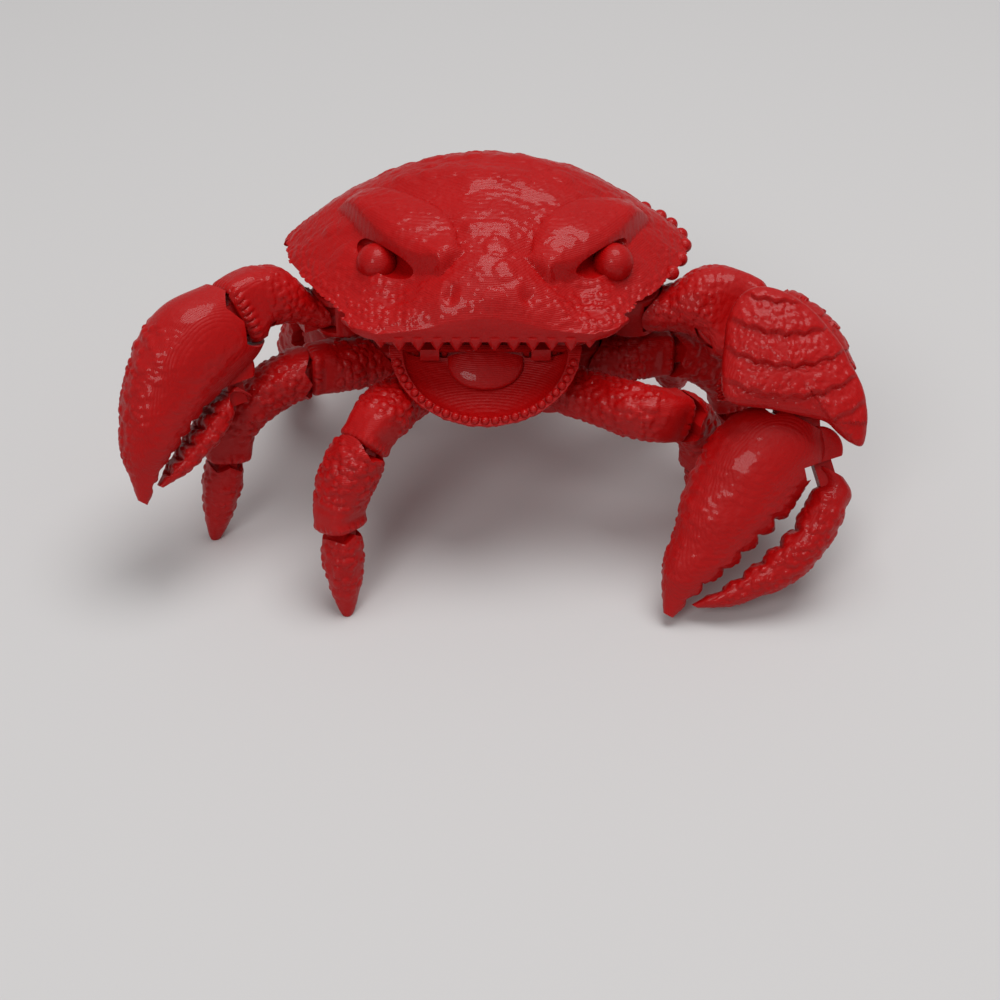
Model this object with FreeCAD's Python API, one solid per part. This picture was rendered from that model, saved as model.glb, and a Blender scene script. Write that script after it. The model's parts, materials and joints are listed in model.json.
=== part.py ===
"""Articulated crab figurine in printed plastic, in millimetres, face towards -Y, Z up.

Every moving piece has a round knuckle at its root that snaps into a C-shaped cup at the end of
the piece before it. The rest pose is the one it is photographed in.
"""
import FreeCAD, Part
import math
import os

Vec = FreeCAD.Vector
UP = Vec(0, 0, 1)
AHEAD = Vec(0, -1, 0)
RIGHT = Vec(1, 0, 0)
VIEWER = Vec(0, -0.79, 0.61)

# Joints: gap round a knuckle, walls of its cup, half angle of the cup's mouth, neck thickness
clearance = 0.3
cup_wall = 0.8
cheek_wall = 0.9
lip_angle = 58.0
neck_share = 0.46
overrun = 1.0
bend_share = 0.35
barrel_sides = 18
limb_fullness = 2.6
cup_fullness = 4.0
claw_fullness = 2.2
forearm_fullness = 2.8
hollow_widths = 8
pole_share = 0.06
flat_enough = 1e-7

# Shell
shell_width = 58.0
shell_length = 43.0
shell_shift = 1.0
shell_floor = 36.0
shell_rim = 1.3
shell_dome = 13.0
shell_rows = 15
shell_columns = 16
snout_radius = 7.0
snout_rise = 1.1
snout_forward = 17.0
arch_height = 1.5
arch_radius = 11.5

# Upper teeth
tooth_count = 12
tooth_pitch = 3.0
tooth_depth = 1.6
tooth_length = 1.9
tooth_width = 2.1

# Eyes and brow hoods
eye_radius = 2.7
eye_spread = 15.4
eye_forward = 8.9
eye_height = 41.8
hood_outer_spread = 21.6
hood_outer_forward = 1.6
hood_inner_spread = 5.8
hood_inner_forward = 14.6
hood_height = 43.7
hood_width = 4.6
hood_rise = 5.0

# Lower body
belly_height = 20.2
waist_height = 26.6
core_half_width = 19.3
hip_inset_share = 0.35
belly_share = 0.86

# Lower jaw
jaw_half_width = 13.1
jaw_reach = 11.5
jaw_depth = 3.6
jaw_wall = 1.8
jaw_front_share = 0.4
jaw_tilt = 38.0
jaw_hinge_height = 31.6
jaw_hinge_forward = 12.9
jaw_hinge_spread = 7.6
jaw_knuckle_radius = 1.5
jaw_knuckle_width = 2.6
jaw_close = 20.0
jaw_open = 1.0
tongue_radius = 4.6
tongue_rise = 2.4

# Legs
hip_height = 22.9
leg_knuckle_radius = 2.4
leg_knuckle_width = 3.2
ankle_knuckle_radius = 2.3
ankle_knuckle_width = 3.0
leg_half_width = 3.9
leg_half_height = 3.7
tip_half_width = 2.75
tip_half_height = 2.75
tip_point = 0.45
hip_swing = 16.0
knee_swing = 22.0
ankle_swing = 22.0

# Arms
shoulder_spread = 20.6
shoulder_forward = 5.0
shoulder_height = 32.0
shoulder_radius = 2.8
shoulder_width = 3.6
shoulder_swing = 14.0
elbow_radius = 5.2
elbow_width = 5.0
elbow_swing = 18.0
left_wrist_radius = 3.7
right_wrist_radius = 5.0
wrist_width = 4.8
wrist_swing = 18.0
left_arm_half_width = 4.0
left_arm_half_height = 4.6
right_arm_half_width = 4.6
right_arm_half_height = 5.8
forearm_half_width = 7.6
forearm_reach = 12.0
forearm_bend_place = (12.2, 3.7)
cuff_thickness = 1.5

# Claws
claw_width = 14.5
claw_thickness = 11.4
finger_thickness = 6.6
finger_knuckle_radius = 2.1
finger_knuckle_width = 3.4
finger_open = 20.0
finger_close = 1.0

# Shell along its length, as shares: place, half width, crest height
shell_shares = [
    (0.000, 0.50, 0.06),
    (0.023, 0.58, 0.17),
    (0.080, 0.66, 0.34),
    (0.175, 0.76, 0.53),
    (0.290, 0.87, 0.75),
    (0.430, 0.965, 0.93),
    (0.550, 1.00, 1.00),
    (0.663, 0.95, 0.92),
    (0.780, 0.82, 0.72),
    (0.895, 0.58, 0.46),
    (0.965, 0.36, 0.22),
    (1.000, 0.20, 0.06),
]

# Brow hood: place along it and size; and its section, as shares of its width and rise
hood_shares = [(0.0, 0.25), (0.15, 0.7), (0.4, 1.0), (0.65, 1.0), (0.85, 0.72), (1.0, 0.3)]
hood_section_shares = [
    (-1.0, 0.3), (-0.75, 0.66), (-0.3, 0.95), (0.2, 1.0), (0.7, 0.75), (1.15, 0.2),
    (1.2, -0.7), (-0.35, -0.4),
]

# Limb pieces, as shares: place, half width, half height, lift of half heights
upper_shares = [(0.1, 0.9, 0.92, 0.0), (0.4, 1.0, 1.0, 0.0), (0.72, 1.0, 1.04, 0.0)]
middle_shares = [(0.06, 0.94, 0.9, 0.0), (0.4, 1.06, 1.06, 0.0), (0.74, 1.0, 1.0, 0.0)]
arm_shares = [(0.1, 0.8, 0.58, 0.0), (0.34, 0.84, 0.58, 0.02), (0.72, 1.0, 0.94, 0.14)]

# Leg tip, as shares: place and size above its point's
tip_shares = [(0.1, 0.8), (0.36, 1.0), (0.62, 0.78), (0.85, 0.42), (1.0, 0.0)]

# Jaw, as shares of its half width, reach and depth: bowl, hollow; and tongue's ends, as shares
# of its radius. Tooth's tip, as shares of its length and width
bowl_shares = [(1.0, 1.0, 0.0), (0.87, 0.94, 0.5), (0.6, 0.7, 1.0)]
hollow_floor_shares = (0.8, 0.84)
tongue_place_shares = (0.42, 0.8)
tongue_shares = [(1.0, 0.8), (0.75, 0.6)]
tooth_tip_shares = (0.2, 0.14, 0.17)

# Lower body, as shares of its half width and of the shell's length, front to back
core_shares = [(0.42, -0.30), (0.90, -0.21), (1.0, -0.02), (0.93, 0.22), (0.55, 0.40)]

# Claw along its length, as shares: place, outer edge, inner edge, half thickness
left_palm_shares = [
    (0.00, -0.44, 0.28, 0.70),
    (0.16, -0.70, 0.30, 0.96),
    (0.31, -0.79, 0.20, 1.00),
    (0.50, -0.75, 0.06, 0.90),
    (0.71, -0.59, 0.00, 0.68),
    (0.86, -0.40, -0.02, 0.42),
    (1.00, -0.09, 0.01, 0.10),
]
right_palm_shares = [
    (0.14, -0.12, 0.50, 0.80),
    (0.20, -0.28, 0.61, 0.94),
    (0.31, -0.40, 0.56, 1.00),
    (0.50, -0.43, 0.41, 0.88),
    (0.70, -0.34, 0.26, 0.66),
    (0.87, -0.24, 0.13, 0.40),
    (1.00, -0.05, 0.05, 0.10),
]
left_finger_shares = [
    (0.36, 0.16, 0.32, 0.80),
    (0.46, 0.12, 0.34, 0.98),
    (0.56, 0.10, 0.34, 1.00),
    (0.68, 0.06, 0.29, 0.86),
    (0.80, 0.035, 0.19, 0.56),
    (0.90, 0.02, 0.07, 0.20),
]
right_finger_shares = [
    (0.27, 0.64, 0.94, 0.80),
    (0.35, 0.66, 1.01, 0.98),
    (0.45, 0.66, 1.04, 1.00),
    (0.56, 0.60, 1.01, 0.92),
    (0.67, 0.50, 0.91, 0.78),
    (0.78, 0.37, 0.69, 0.60),
    (0.87, 0.24, 0.46, 0.40),
    (0.925, 0.15, 0.22, 0.15),
]

# Root of a finger: how far ahead of its pivot and half its width, as shares of its knuckle, and
# half its thickness, as a share of the finger's
finger_root_shares = (1.2, 1.1, 0.35)

# Forearm, bent about a point inside its elbow: share of the turn, then centre, half height and
# half width as shares of its reach and width
forearm_shares = [
    (0.81, 0.96, 0.48, 0.62),
    (0.74, 0.98, 0.62, 0.72),
    (0.61, 0.97, 0.70, 0.86),
    (0.42, 0.97, 0.76, 1.00),
    (0.22, 0.95, 0.77, 1.00),
    (0.03, 0.95, 0.78, 1.00),
]

# Scalloped cuff of the forearm: along the claw and across it, as shares of the forearm's reach
cuff_shares = [
    (-0.30, -0.70), (0.12, -0.80), (0.30, -0.76), (0.25, -0.64), (0.37, -0.50), (0.31, -0.38),
    (0.43, -0.24), (0.35, -0.10), (0.45, 0.02), (0.37, 0.14), (0.46, 0.28), (0.40, 0.40),
    (0.52, 0.48), (0.76, 0.52), (0.82, 0.68), (0.45, 0.77), (0.0, 0.74), (-0.30, 0.64),
]

# Legs, front to back. Hip place, then length, heading and pitch of the upper and the middle
# piece, heading and pitch of the tip, and pitch of the knee's mouth. A heading turns from
# straight outwards towards the face.
leg_poses = {
    "left_leg_1": (-9.0, -11.2, (14.8, 62.5, 2.2), (11.8, 54.0, -54.0), (98.0, -72.0), -40.0),
    "left_leg_2": (-13.0, -4.2, (11.8, 24.0, 6.0), (17.2, 25.0, -32.0), (40.0, -76.0), 4.0),
    "left_leg_3": (-14.0, 5.2, (10.4, 0.0, -5.0), (13.4, -58.0, -50.0), (-82.0, -52.0), -20.0),
    "left_leg_4": (-9.4, 13.6, (10.6, -66.0, 4.0), (12.6, -72.0, -58.0), (-80.0, -74.0), -20.0),
    "right_leg_1": (9.0, -11.2, (18.1, 22.0, -2.0), (11.8, -36.0, -54.0), (-50.0, -80.0), -20.0),
    "right_leg_2": (13.0, -4.2, (11.8, -2.0, 4.0), (15.0, -12.0, -38.0), (-10.0, -80.0), 0.0),
    "right_leg_3": (14.0, 5.2, (10.4, 0.0, -5.0), (13.4, -58.0, -50.0), (-82.0, -52.0), -20.0),
    "right_leg_4": (9.4, 13.6, (10.6, -66.0, 4.0), (12.6, -72.0, -58.0), (-80.0, -74.0), -20.0),
}

# Arms: places of the pivots and of the claw tips; turns of the cups' mouths in the view from
# the front; each claw's turn about its length; finger hinge along and across the claw
left_wrist = Vec(-33.0, -11.2, 35.8)
left_claw_point = Vec(-46.0, -30.6, 16.4)
left_claw_turn = -36.0
left_finger_hinge = (8.8, 1.5)
right_elbow = Vec(34.2, -7.4, 32.0)
right_elbow_turn = -26.0
right_wrist = Vec(42.4, -17.8, 28.9)
right_wrist_turn = -88.0
right_claw_point = Vec(25.2, -36.6, 1.7)
right_claw_turn = 0.0
right_finger_hinge = (7.6, 7.4)

# Joints that a neighbour stops short of their full swing: least and most turn
tight_swings = {
    "left_leg_1_hip": (-16.0, 0.0),
    "left_leg_2_hip": (-12.0, 12.0),
    "left_leg_2_knee": (-3.0, 22.0),
    "left_leg_3_hip": (-12.0, 12.0),
    "left_wrist": (-18.0, 3.0),
    "left_claw": (-1.0, 16.0),
    "right_leg_1_hip": (-3.0, 3.0),
    "right_leg_1_knee": (-8.0, 22.0),
    "right_leg_2_hip": (-4.0, 2.0),
    "right_leg_2_knee": (-12.0, 22.0),
    "right_leg_3_hip": (-2.0, 16.0),
    "right_arm_shoulder": (-5.0, 14.0),
    "right_elbow": (-2.0, 18.0),
    "right_wrist": (-2.0, 18.0),
}

parts = {}
joints = []


def unit(vector):
    """The vector at length one."""
    out = Vec(vector)
    out.normalize()
    return out


def turned(vector, axis, degrees):
    """The vector turned about an axis through the origin."""
    return FreeCAD.Rotation(axis, degrees).multVec(vector)


def across(vector, along):
    """The part of a vector square to another, at length one."""
    return unit(vector - along * vector.dot(along))


def blend(table, place):
    """Values of a table of shares at a place along it, eased between its rows."""
    for low, high in zip(table, table[1:]):
        if place <= high[0]:
            step = (place - low[0]) / (high[0] - low[0])
            return [a + (b - a) * step for a, b in zip(low, high)]
    return list(table[-1])


def ring(centre, wide, high, half_wide, half_high, sides=12, fullness=2.0):
    """Corners of an outline between an ellipse (fullness 2) and a rounded box (fullness 4)."""
    corners = []
    for i in range(sides):
        angle = 2 * math.pi * (i + 0.5) / sides
        c, s = math.cos(angle), math.sin(angle)
        reach = (abs(c) ** fullness + abs(s) ** fullness) ** (-1 / fullness)
        corners.append(centre + wide * (half_wide * reach * c) + high * (half_high * reach * s))
    return corners


def face(corners):
    """Flat face between its corners."""
    return Part.Face(Part.makePolygon(corners + [corners[0]]))


def facets(a, b, c, d):
    """One flat face between four corners, or two where they lie off one plane."""
    twist = (b - a).cross(d - a).dot(c - a)
    if abs(twist) < flat_enough * (c - a).Length ** 3:
        return [face([a, b, c, d])]
    return [face([a, b, c]), face([a, c, d])]


def lofted(rings):
    """Solid of flat facets from each ring of corners to the next."""
    faces = [face(rings[0]), face(rings[-1])]
    for low, high in zip(rings, rings[1:]):
        for i in range(len(low)):
            faces += facets(low[i - 1], low[i], high[i], high[i - 1])
    skin = Part.makeShell(faces)
    skin.sewShape()
    solid = Part.makeSolid(skin)
    if solid.Volume < 0:
        solid.reverse()
    return solid


def rod(centre, axis, radius, width, hollow=False):
    """Round bar of even facets centred on a point: its corners lie at the radius, or its flats."""
    if hollow:
        radius = radius / math.cos(math.pi / barrel_sides)
    wide = across(RIGHT if abs(axis.x) < abs(axis.z) + abs(axis.y) else UP, axis)
    start = centre - axis * (width / 2)
    end = face(ring(start, wide, axis.cross(wide), radius, radius, barrel_sides))
    return end.extrude(axis * width)


def ball(centre, radius, rows=7, sides=12):
    """Faceted ball with small flats at its poles."""
    rings = []
    for i in range(rows + 1):
        tilt = math.pi * (pole_share + (1 - 2 * pole_share) * i / rows)
        level = centre + AHEAD * (radius * math.cos(tilt))
        size = radius * math.sin(tilt)
        rings.append(ring(level, RIGHT, UP, size, size, sides))
    return lofted(rings)


def slab(centre, axis, ahead, points, width):
    """Flat outline in the plane square to the axis, given as (ahead, aside), at a width."""
    aside = axis.cross(ahead)
    corner = centre - axis * (width / 2)
    return face([corner + ahead * a + aside * b for a, b in points]).extrude(axis * width)


def cup_reach(radius):
    """Outer radius of the cup that holds a knuckle."""
    return radius + clearance + cup_wall


def cup_width(width):
    """Outer width of the cup that holds a knuckle."""
    return width + 2 * clearance + 2 * cheek_wall


def socket(pivot, axis, ahead, radius, width):
    """Hollow of a cup: the bore of the knuckle and the mouth that its neck swings in."""
    room = width + 2 * clearance
    bore = rod(pivot, axis, radius + clearance, room, True)
    deep = cup_reach(radius) + clearance
    side = deep * math.tan(math.radians(lip_angle))
    mouth = slab(pivot, axis, ahead, [(0, 0), (deep, side), (deep, -side)], room)
    return bore.fuse(mouth)


def nosed(pivot, axis, ahead, radius, scoop, swing, width):
    """Round hollow with a nose left in the cup's mouth, as far in as the lip lets it swing."""
    lip = cup_reach(radius) * math.cos(math.radians(lip_angle)) + clearance
    side = math.acos(lip / scoop) - math.radians(swing)
    points = [(lip / math.cos(math.radians(swing)), 0)]
    for i in range(barrel_sides + 1):
        angle = side + 2 * (math.pi - side) * i / barrel_sides
        points.append((scoop * math.cos(angle), scoop * math.sin(angle)))
    return slab(pivot, axis, ahead, points, width)


def rooted(body, pivot, axis, ahead, radius, width, swing=None):
    """Hollows the root of a piece round its parent's cup and adds its knuckle and neck.

    The swing is given where the parent's cup ends in a flat lip.
    """
    scoop = cup_reach(radius) + clearance
    thick = radius * neck_share
    deep = scoop + clearance + thick
    across_all = hollow_widths * width
    hollow = rod(pivot, axis, scoop, across_all, True)
    if swing is not None:
        flat = scoop / math.cos(math.pi / barrel_sides)
        hollow = nosed(pivot, axis, ahead, radius, flat, swing, across_all)
    neck = slab(pivot, axis, ahead, [(0, thick), (0, -thick), (deep, -thick), (deep, thick)], width)
    return body.cut(hollow).fuse([rod(pivot, axis, radius, width), neck]).removeSplitter()


def curve_point(ends, heads, share):
    """Point and direction on the curve between two pivots that leaves and arrives along heads."""
    chord = (ends[1] - ends[0]).Length * bend_share
    a, d = ends
    b = a + heads[0] * chord
    c = d - heads[1] * chord
    s, r = share, 1 - share
    point = a * r ** 3 + b * (3 * r * r * s) + c * (3 * r * s * s) + d * s ** 3
    slope = (b - a) * (3 * r * r) + (c - b) * (6 * r * s) + (d - c) * (3 * s * s)
    return point, unit(slope)


def limb(ends, heads, sides, shares, half_sizes, end_size, count=10):
    """Body of a limb piece from its root to the lip of its cup.

    The end size is the radius and width of the knuckle that the cup holds.
    """
    rings = []
    for share, wide_share, high_share, lift in shares:
        point, head = curve_point(ends, heads, share)
        wide = across(sides[0] * (1 - share) + sides[1] * share, head)
        high = head.cross(wide)
        rings.append(ring(point + high * (half_sizes[1] * lift), wide, high, half_sizes[0] * wide_share,
                          half_sizes[1] * high_share, count, limb_fullness))
    radius, width = end_size
    reach = cup_reach(radius)
    half_wide = cup_width(width) / 2
    high = heads[1].cross(sides[1])
    lip = math.radians(lip_angle)
    for ahead, half_high in ((0, reach), (reach * math.cos(lip), reach * math.sin(lip))):
        centre = ends[1] + heads[1] * ahead
        rings.append(ring(centre, sides[1], high, half_wide, half_high, count, cup_fullness))
    return lofted(rings)


def add_joint(name, parent, child, pivot, axis, swing, back_swing=None):
    """Adds a hinge that turns as far each way, or less where a neighbour is in the way."""
    back = swing if back_swing is None else back_swing
    low, high = tight_swings.get(name, (-back, swing))
    joints.append((name, parent, child, Vec(pivot), Vec(axis), low, high))


def heading(side, degrees, pitch):
    """Direction from its turn towards the face and its rise above level."""
    turn, rise = math.radians(degrees), math.radians(pitch)
    flat = math.cos(rise)
    return Vec(side * math.cos(turn) * flat, -math.sin(turn) * flat, math.sin(rise))


def shell_ring(place):
    """Domed section of the shell at a share of its length, with the snout raised on it."""
    _, wide, crest = blend(shell_shares, place)
    y = shell_shift + shell_length * (place - 0.5)
    half = wide * shell_width / 2
    rim = shell_floor + shell_rim
    corners = []
    for i in range(shell_columns + 1):
        share = 2 * i / shell_columns - 1
        x = half * math.sin(share * math.pi / 2)
        near = 1 - (x * x + (y + snout_forward) ** 2) / snout_radius ** 2
        z = rim + crest * shell_dome * (1 - (x / half) ** 2) + snout_rise * max(0, near)
        corners.append(Vec(x, y, z))
    return corners + [Vec(half, y, shell_floor), Vec(-half, y, shell_floor)]


def make_hood(side):
    """Visor over an eye, sloping in and down to the snout."""
    outer = Vec(side * hood_outer_spread, -hood_outer_forward, hood_height)
    inner = Vec(side * hood_inner_spread, -hood_inner_forward, hood_height)
    run = inner - outer
    back = across(RIGHT * -side, unit(run))
    rings = []
    for share, size in hood_shares:
        centre = outer + run * share
        rings.append([centre + back * (hood_width * size * a) + UP * (hood_rise * size * b)
                      for a, b in hood_section_shares])
    return lofted(rings)


def make_tooth(x, y):
    """Tapered tooth under the lip of the shell."""
    forward, thin, flat = tooth_tip_shares
    top = Vec(x, y + tooth_length / 2, shell_floor + shell_rim / 2)
    tip = top - UP * (tooth_depth + shell_rim / 2) + AHEAD * (tooth_length * forward)
    root = ring(top, RIGHT, AHEAD, tooth_width / 2, tooth_length / 2, 6)
    return lofted([root, ring(tip, RIGHT, AHEAD, tooth_width * thin, tooth_length * flat, 6)])


def make_carapace():
    """Upper shell with snout, hoods, eyes, upper teeth and an arch over each arm."""
    places = [shell_shares[0][0], shell_shares[1][0]]
    places += [(i + 1) / (shell_rows + 1) for i in range(shell_rows)]
    places += [shell_shares[-2][0], shell_shares[-1][0]]
    shell = lofted([shell_ring(place) for place in sorted(places)])
    for side in (-1, 1):
        shoulder = Vec(side * shoulder_spread, -shoulder_forward, shell_floor)
        shell = shell.cut(rod(shoulder, UP, arch_radius, 2 * arch_height))
    front = shell_shift - shell_length / 2
    extras = [make_tooth((i - (tooth_count - 1) / 2) * tooth_pitch, front + clearance)
              for i in range(tooth_count)]
    for side in (-1, 1):
        extras.append(make_hood(side))
        extras.append(ball(Vec(side * eye_spread, -eye_forward, eye_height), eye_radius))
    return shell.fuse(extras)


def plate(points, z):
    """Corners at one height of an outline given by its right half, front to back."""
    return [Vec(x, y, z) for x, y in points] + [Vec(-x, y, z) for x, y in reversed(points)]


def make_underbody(bosses):
    """Lower body: narrow at the belly and the hips, wide at the shoulders under the shell."""
    inset = cup_reach(leg_knuckle_radius) * hip_inset_share
    waist = []
    for n in (1, 2, 3, 4):
        x, y = leg_poses["right_leg_%d" % n][:2]
        out = unit(Vec(x, y, 0))
        waist.append((x - out.x * inset, y - out.y * inset))
    waist.insert(1, ((waist[0][0] + waist[1][0]) / 2, (waist[0][1] + waist[1][1]) / 2))
    belly = [(x * belly_share, y * belly_share) for x, y in waist]
    top = [(core_half_width * a, shell_length * b) for a, b in core_shares]
    shelf = shoulder_height - cup_width(shoulder_width) / 2
    core = lofted([
        plate(belly, belly_height),
        plate(waist, belly_height + cheek_wall),
        plate(waist, waist_height),
        plate(top, shelf + cheek_wall),
        plate(top, shell_floor),
    ])
    return core.fuse(bosses)


def boss(pivot, axis, radius, width):
    """Round outside of a cup on the lower body."""
    return rod(pivot, axis, cup_reach(radius), cup_width(width))


def jaw_ring(half, reach, depth, count=12):
    """Half round outline of the jaw in its own plane, lowered by a depth."""
    turns = [math.pi * i / count for i in range(count + 1)]
    return [Vec(half * math.cos(t), -reach * math.sin(t), -depth) for t in turns]


def make_jaw(bosses, hollows):
    """Bowl of the lower jaw with its tongue, hung on two knuckles."""
    bowl = lofted([jaw_ring(jaw_half_width * a, jaw_reach * b, jaw_depth * c) for a, b, c in bowl_shares])
    half, reach, deep = jaw_half_width - jaw_wall, jaw_reach - jaw_wall, jaw_depth - jaw_wall
    floor_half, floor_reach = hollow_floor_shares
    hollow = lofted([jaw_ring(half, reach, -overrun),
                     jaw_ring(half * floor_half, reach * floor_reach, deep)])
    hollow.translate(AHEAD * (jaw_wall * jaw_front_share))
    forward, down = tongue_place_shares
    middle = Vec(0, -jaw_reach * forward, -jaw_depth * down)
    tongue = lofted([
        ring(at, RIGHT, AHEAD, tongue_radius * a, tongue_radius * b, 14)
        for at, (a, b) in zip((middle, middle + UP * tongue_rise), tongue_shares)
    ])
    bowl = bowl.cut(hollow).fuse(tongue)
    bowl.rotate(Vec(0, 0, 0), RIGHT, jaw_tilt)
    hinge = Vec(0, -jaw_hinge_forward, jaw_hinge_height)
    size = (jaw_knuckle_radius, jaw_knuckle_width)
    stand_off = cup_reach(jaw_knuckle_radius) + clearance
    bowl.translate(hinge + AHEAD * stand_off + UP * (jaw_knuckle_radius * neck_share))
    for side in (-1, 1):
        pivot = hinge + RIGHT * (side * jaw_hinge_spread)
        bowl = rooted(bowl, pivot, RIGHT, AHEAD, *size)
        bosses.append(boss(pivot, RIGHT, *size))
        hollows.append(socket(pivot, RIGHT, AHEAD, *size))
    parts["lower_jaw"] = bowl
    add_joint("jaw_hinge", "body", "lower_jaw", hinge, RIGHT, jaw_open, jaw_close)


def make_leg(name, bosses, hollows):
    """Three pieces of one leg, worked out from the hip down to the floor."""
    x, y, first, second, last, mouth = leg_poses[name]
    side = -1 if x < 0 else 1
    hip = Vec(x, y, hip_height)
    knee = hip + heading(side, first[1], first[2]) * first[0]
    ankle = knee + heading(side, second[1], second[2]) * second[0]
    tip_head = heading(side, last[0], last[1])
    toe = ankle + tip_head * (ankle.z / -tip_head.z)
    hip_head = heading(side, first[1], 0)
    knee_head = heading(side, second[1], mouth)
    hip_side = unit(UP.cross(hip_head))
    knee_axis = unit(UP.cross(knee_head))
    ankle_axis = across(knee_axis, tip_head)
    size = (leg_knuckle_radius, leg_knuckle_width)
    ankle_size = (ankle_knuckle_radius, ankle_knuckle_width)
    half_sizes = (leg_half_width, leg_half_height)

    upper = limb((hip, knee), (hip_head, knee_head), (hip_side, knee_axis), upper_shares, half_sizes, size)
    upper = upper.cut(socket(knee, knee_axis, knee_head, *size))
    upper = rooted(upper, hip, UP, hip_head, *size)
    middle = limb((knee, ankle), (knee_head, tip_head), (knee_axis, ankle_axis), middle_shares,
                  half_sizes, ankle_size)
    middle = middle.cut(socket(ankle, ankle_axis, tip_head, *ankle_size))
    middle = rooted(middle, knee, knee_axis, knee_head, *size, knee_swing)

    end = toe + tip_head * tip_point
    rings = []
    for share, grow in tip_shares:
        half_wide = tip_point + (tip_half_width - tip_point) * grow
        half_high = tip_point + (tip_half_height - tip_point) * grow
        point = ankle + (end - ankle) * share
        rings.append(ring(point, ankle_axis, tip_head.cross(ankle_axis), half_wide, half_high, 10))
    tip = lofted(rings)
    below = 4 * tip_half_height
    floor = Part.makeBox(below, below, below, Vec(toe.x - below / 2, toe.y - below / 2, -below))
    tip = rooted(tip.cut(floor), ankle, ankle_axis, tip_head, *ankle_size, ankle_swing)

    bosses.append(boss(hip, UP, *size))
    hollows.append(socket(hip, UP, hip_head, *size))
    parts[name + "_upper"] = upper
    parts[name + "_middle"] = middle
    parts[name + "_tip"] = tip
    add_joint(name + "_hip", "body", name + "_upper", hip, UP, hip_swing)
    add_joint(name + "_knee", name + "_upper", name + "_middle", knee, knee_axis, knee_swing)
    add_joint(name + "_ankle", name + "_middle", name + "_tip", ankle, ankle_axis, ankle_swing)


def claw_frame(wrist, point, turn):
    """Directions along a claw, across it towards its finger, and out of its broad side."""
    along = unit(point - wrist)
    broad = turned(across(VIEWER, along), along, turn)
    return along, broad.cross(along), broad


def claw_rings(wrist, frame, length, shares, half_thick, sides):
    """Outlines across a claw piece between its two edges."""
    along, inward, broad = frame
    rings = []
    for place, low, high, thick in shares:
        centre = wrist + along * (place * length) + inward * (claw_width * (low + high) / 2)
        half = claw_width * (high - low) / 2
        rings.append(ring(centre, inward, broad, half, thick * half_thick, sides, claw_fullness))
    return rings


def make_claw(name, wrist, point, frame, palm_shares, finger_shares, hinge_place, wrist_radius, mouth):
    """Palm with its fixed finger, and the moving finger hinged in the palm's inner edge."""
    along, inward, broad = frame
    length = (point - wrist).Length
    palm = lofted(claw_rings(wrist, frame, length, palm_shares, claw_thickness / 2, 14))
    hinge = wrist + along * hinge_place[0] + inward * hinge_place[1]
    out = unit(along + inward)
    size = (finger_knuckle_radius, finger_knuckle_width)
    rings = claw_rings(wrist, frame, length, finger_shares, finger_thickness / 2, 10)
    forward, half_wide, half_thick = finger_root_shares
    start = ring(hinge + out * (finger_knuckle_radius * forward), across(inward, out), broad,
                 finger_knuckle_radius * half_wide, finger_thickness * half_thick, 10, claw_fullness)
    finger = rooted(lofted([start] + rings), hinge, broad, out, *size)
    palm = rooted(palm.fuse(boss(hinge, broad, *size)), wrist, broad, mouth, wrist_radius, wrist_width)
    parts[name + "_palm"] = palm.cut(socket(hinge, broad, out, *size))
    parts[name + "_finger"] = finger
    add_joint(name, name + "_palm", name + "_finger", hinge, broad, finger_open, finger_close)


def make_upper_arm(side, name, end, head, axis, half_sizes, end_size, bosses, hollows):
    """Piece from a shoulder on the lower body to the next cup of the arm."""
    shoulder = Vec(side * shoulder_spread, -shoulder_forward, shoulder_height)
    size = (shoulder_radius, shoulder_width)
    out = unit(Vec(end.x - shoulder.x, end.y - shoulder.y, 0))
    upper = limb((shoulder, end), (out, head), (UP.cross(out), axis * -side), arm_shares, half_sizes,
                 end_size, 12)
    upper = upper.cut(socket(end, axis, head, *end_size))
    parts[name + "_upper"] = rooted(upper, shoulder, UP, out, *size)
    bosses.append(boss(shoulder, UP, *size))
    hollows.append(socket(shoulder, UP, out, *size))
    add_joint(name + "_shoulder", "body", name + "_upper", shoulder, UP, shoulder_swing)


def make_left_arm(bosses, hollows):
    """Upper piece, palm and finger of the left arm."""
    frame = claw_frame(left_wrist, left_claw_point, left_claw_turn)
    broad = frame[2]
    shoulder = Vec(-shoulder_spread, -shoulder_forward, shoulder_height)
    mouth = across(unit(left_wrist - shoulder) + frame[0], broad)
    size = (left_wrist_radius, wrist_width)
    make_upper_arm(-1, "left_arm", left_wrist, mouth, broad,
                   (left_arm_half_width, left_arm_half_height), size, bosses, hollows)
    make_claw("left_claw", left_wrist, left_claw_point, frame, left_palm_shares, left_finger_shares,
              left_finger_hinge, left_wrist_radius, mouth)
    add_joint("left_wrist", "left_arm_upper", "left_claw_palm", left_wrist, broad, wrist_swing)


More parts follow.
